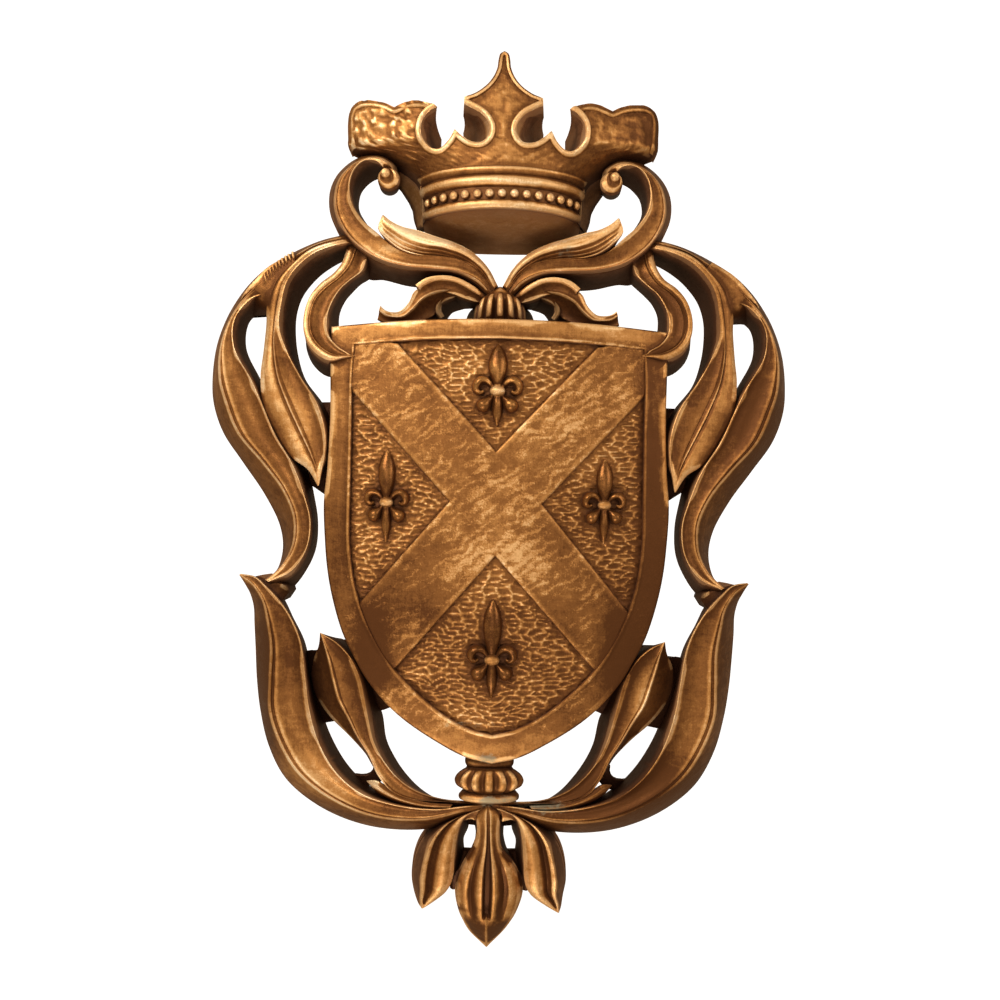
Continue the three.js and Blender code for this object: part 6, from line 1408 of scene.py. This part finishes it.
def antique_gold():
    material = bpy.data.materials.new("antique_gold_patina")
    g = Graph(material)
    place = g.node("ShaderNodeTexCoord").outputs["Object"]
    wear, wide, sky = g.mark("wear"), g.mark("wide"), g.mark("open_sky")
    rubbed_and_lit, green, lily_dark = g.mark("rubbed_and_lit"), g.mark("verdigris"), g.mark("lily_dark")
    under, arms, outside = g.mark("under"), g.mark("arms"), g.mark("outside")
    split = g.node("ShaderNodeSeparateXYZ")
    g.tree.links.new(g.node("ShaderNodeNewGeometry").outputs["Normal"], split.inputs[0])
    facing = g.math("MULTIPLY", split.outputs[1], -1.0)          # 1 on faces that look out
    steep = g.span(facing, 0.5, 0.12)
    # painted light: steep walls near the plaque's open outside are painted lighter as if lit
    lit_wall = g.math("MULTIPLY", steep, g.span(outside, 0.08, 0.34))

    cloud = g.noise(place, 22, 5, 0.55, twist=0.6)
    mottle = g.noise(place, 130, 5, 0.62, stretch=(0.75, 1, 1.25), twist=0.8)
    speck = g.noise(place, 900, 3, 0.7)
    brush = g.noise(place, 700, 3, 0.6, stretch=(1.0, 1, 0.14))
    streak = g.noise(place, 500, 3, 0.6, stretch=(0.12, 1, 1.0))

    # wavy ripples over the saltire, stronger on the bright patches of rubbing and painted light
    ripple = g.wave(place, 46, (0, math.radians(-55), 0), 9.0, 3, 1.6)
    ripple2 = g.noise(place, 150, 4, 0.6, stretch=(0.42, 1, 1.5), twist=1.5)
    patch = g.noise(place, 42, 3, 0.5, offset=(0.3, 0, 0.1))
    wavy = g.math("MULTIPLY_ADD", ripple, 0.34, g.math("MULTIPLY", ripple2, 0.9))
    wavy = g.math("MULTIPLY_ADD", g.math("SUBTRACT", patch, 0.5), 1.5, wavy)
    wavy = g.math("MULTIPLY_ADD", g.math("SUBTRACT", speck, 0.5), 0.9, wavy)
    wavy = g.math("MULTIPLY_ADD", rubbed_and_lit, 0.9, wavy)
    wavy = g.math("MULTIPLY", g.span(wavy, 0.58, 1.05), arms)

    level = g.math("MULTIPLY_ADD", g.math("SUBTRACT", mottle, 0.5), 0.75,
                   g.math("MULTIPLY_ADD", g.math("SUBTRACT", cloud, 0.5), 0.7, 0.46))
    level = g.math("MULTIPLY_ADD", g.math("SUBTRACT", speck, 0.5), 0.55, level)
    level = g.math("MULTIPLY_ADD", g.math("SUBTRACT", brush, 0.5), 0.34, level)
    level = g.math("MULTIPLY_ADD", g.math("SUBTRACT", streak, 0.5), 0.22, level)
    worn = g.math("MULTIPLY", g.span(wear, -0.35, 0.4, -0.42, 0.5), g.math("MULTIPLY_ADD", arms, -0.55, 1.0))
    level = g.math("ADD", level, worn)
    # painted light on the crown's underside and side walls
    level = g.math("MULTIPLY_ADD", under, 0.6, level)
    level = g.math("MULTIPLY_ADD", lit_wall, 0.38, level)
    # painted light and shade from the bright and dull patches, with real rubbing among them
    level = g.math("ADD", level, rubbed_and_lit)
    level = g.math("MULTIPLY_ADD", wavy, 0.44, level)
    # the saltire's arms are painted a little darker: painted shade on faces that look straight out
    level = g.math("MULTIPLY_ADD", arms, -0.19, level)
    level = g.math("MULTIPLY_ADD", lily_dark, -0.72, level)

    dark = (0.052, 0.020, 0.010, 1)
    colour = g.mix(g.span(level, -0.15, 0.3), (0.095, 0.033, 0.0095, 1), (0.22, 0.086, 0.0225, 1))
    colour = g.mix(g.span(level, 0.25, 0.62), colour, (0.42, 0.188, 0.052, 1))
    colour = g.mix(g.span(level, 0.6, 0.95), colour, (0.67, 0.378, 0.152, 1))
    colour = g.mix(g.span(level, 0.95, 1.35), colour, (0.93, 0.68, 0.39, 1))
    # faces turned away from the front take a redder colour of their own: painted light and shade by which way a face
    # turns
    wall = g.mix(g.span(level, -0.25, 0.7), (0.155, 0.060, 0.026, 1), (0.42, 0.205, 0.092, 1))
    colour = g.mix(g.math("MULTIPLY", steep, 0.85), colour, wall)
    # painted shade: darkens towards dark where little of the sky is open and on low spots, over the real dark patina of
    # the hollows; the painted lifts keep the crown's underside and the outer walls out of it
    shade = g.math("MULTIPLY", g.span(sky, 0.08, 0.66), g.span(wide, -14, -1, 0.4, 1.0))
    shade = g.math("MAXIMUM", shade, g.math("MULTIPLY", under, 0.9))
    shade = g.math("MAXIMUM", shade, g.math("MULTIPLY", lit_wall, 0.92))
    colour = g.mix(shade, dark, colour)
    grime = g.span(g.math("MULTIPLY_ADD", g.math("SUBTRACT", mottle, 0.5), 1.6,
                          g.math("MULTIPLY_ADD", g.math("SUBTRACT", speck, 0.5), 0.8, green)), 0.32, 0.85, 0.0, 0.72)
    colour = g.mix(grime, colour, (0.24, 0.235, 0.165, 1))

    rough = g.math("MULTIPLY_ADD", g.math("SUBTRACT", speck, 0.5), 0.22,
                   g.math("MULTIPLY_ADD", g.math("SUBTRACT", mottle, 0.5), -0.25, 0.46))
    rough = g.math("MULTIPLY_ADD", lily_dark, -0.2, rough)
    rough = g.math("MULTIPLY_ADD", grime, 0.25, rough)
    rough = g.math("MULTIPLY_ADD", steep, 0.16, rough)

    height = g.math("MULTIPLY_ADD", speck, 0.00016,
                    g.math("MULTIPLY_ADD", brush, 0.00012,
                           g.math("MULTIPLY_ADD", mottle, 0.0004, g.math("MULTIPLY", wavy, 0.00018))))
    bump = g.node("ShaderNodeBump")
    bump.inputs["Strength"].default_value = 0.6
    bump.inputs["Distance"].default_value = 1.0
    g.tree.links.new(height, bump.inputs["Height"])

    shader = g.node("ShaderNodeBsdfPrincipled")
    g.plug(colour, shader.inputs["Base Color"])
    g.plug(rough, shader.inputs["Roughness"])
    shader.inputs["Metallic"].default_value = 0.6
    shader.inputs["Specular Tint"].default_value = (1.0, 0.79, 0.56, 1)
    shader.inputs["Specular IOR Level"].default_value = 0.15
    g.tree.links.new(bump.outputs[0], shader.inputs["Normal"])
    out = g.node("ShaderNodeOutputMaterial")
    g.tree.links.new(shader.outputs[0], out.inputs[0])
    return material


plaque.data.materials.clear()
plaque.data.materials.append(antique_gold())
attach(plaque, "root")
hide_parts("coat_of_arms")


# ------------------------------------------------------------------- studio --
def studio_sweep():
    """A pale floor that rises into a backdrop, well away from the plaque."""
    line = [(-5.0, -1.15), (2.0, -1.15)]
    line += [(2.0 + 1.0 * math.sin(a), -0.15 - 1.0 * math.cos(a))
             for a in np.linspace(0.1, math.pi / 2, 12)]
    line += [(3.0, 5.0)]
    verts = [(x, y, z) for x in (-7.0, 7.0) for y, z in line]
    n = len(line)
    faces = [(k, k + 1, n + k + 1, n + k) for k in range(n - 1)]
    mesh = bpy.data.meshes.new("studio_sweep")
    mesh.from_pydata(verts, [], faces)
    mesh.shade_smooth()
    sweep = bpy.data.objects.new("studio_sweep", mesh)
    bpy.context.scene.collection.objects.link(sweep)
    material = bpy.data.materials.new("pale_paper")
    g = Graph(material)
    shader = g.node("ShaderNodeBsdfPrincipled")
    shader.inputs["Base Color"].default_value = (0.93, 0.93, 0.93, 1)
    shader.inputs["Roughness"].default_value = 0.9
    shader.inputs["Specular IOR Level"].default_value = 0.1
    shader.inputs["Emission Color"].default_value = (1, 1, 1, 1)
    shader.inputs["Emission Strength"].default_value = 0.75
    g.tree.links.new(shader.outputs[0], g.node("ShaderNodeOutputMaterial").inputs[0])
    mesh.materials.append(material)
    sweep.visible_glossy = False
    sweep.visible_diffuse = False


def soft_light(name, place, size, power, target=(0, 0, 0), colour=(1, 1, 1)):
    from mathutils import Vector
    data = bpy.data.lights.new(name, "AREA")
    data.shape = "RECTANGLE"
    data.size, data.size_y = size
    data.energy = power
    data.color = colour
    light = bpy.data.objects.new(name, data)
    light.location = place
    light.rotation_euler = (Vector(target) - Vector(place)).to_track_quat("-Z", "Y").to_euler()
    bpy.context.scene.collection.objects.link(light)
    return light


studio_sweep()
soft_light("key", (-0.55, -0.85, 0.65), (0.6, 0.5), 10.5, (0, 0, 0.02), (1.0, 0.955, 0.89))
soft_light("front", (-0.1, -1.6, 0.15), (0.7, 0.7), 2.5, (0, 0, 0), (1.0, 0.96, 0.91))
soft_light("low", (-0.25, -0.8, -0.95), (0.8, 0.5), 7.5, (0, 0, 0.0), (1.0, 0.93, 0.85))
soft_light("right", (0.8, -0.7, 0.35), (0.5, 0.6), 3.5, (0, 0, 0.05), (1.0, 0.95, 0.9))

world = bpy.data.worlds.new("studio")
world.use_nodes = True
world.node_tree.nodes["Background"].inputs[0].default_value = (1.0, 0.90, 0.80, 1)
world.node_tree.nodes["Background"].inputs[1].default_value = 0.38
bpy.context.scene.world = world
bpy.context.scene.view_settings.view_transform = "Standard"
bpy.context.scene.view_settings.look = "None"

# ------------------------------------------------------------------- camera --
CAMERA_DISTANCE = 0.647
HALF_FIELD = 0.364           # half the picture's width at the wall, metres
ROLL = 1.05                  # degrees
camera_data = bpy.data.cameras.new("camera")
camera_data.sensor_fit = "HORIZONTAL"
camera_data.sensor_width = 36.0
camera_data.lens = 18.0 * CAMERA_DISTANCE / HALF_FIELD
camera_data.clip_start, camera_data.clip_end = 0.01, 50.0
camera = bpy.data.objects.new("camera", camera_data)
camera.location = (0.0024, -CAMERA_DISTANCE, 0.0)
camera.rotation_mode = "XYZ"
camera.rotation_euler = (math.pi / 2, -math.radians(ROLL), 0.0)
bpy.context.scene.collection.objects.link(camera)
bpy.context.scene.camera = camera
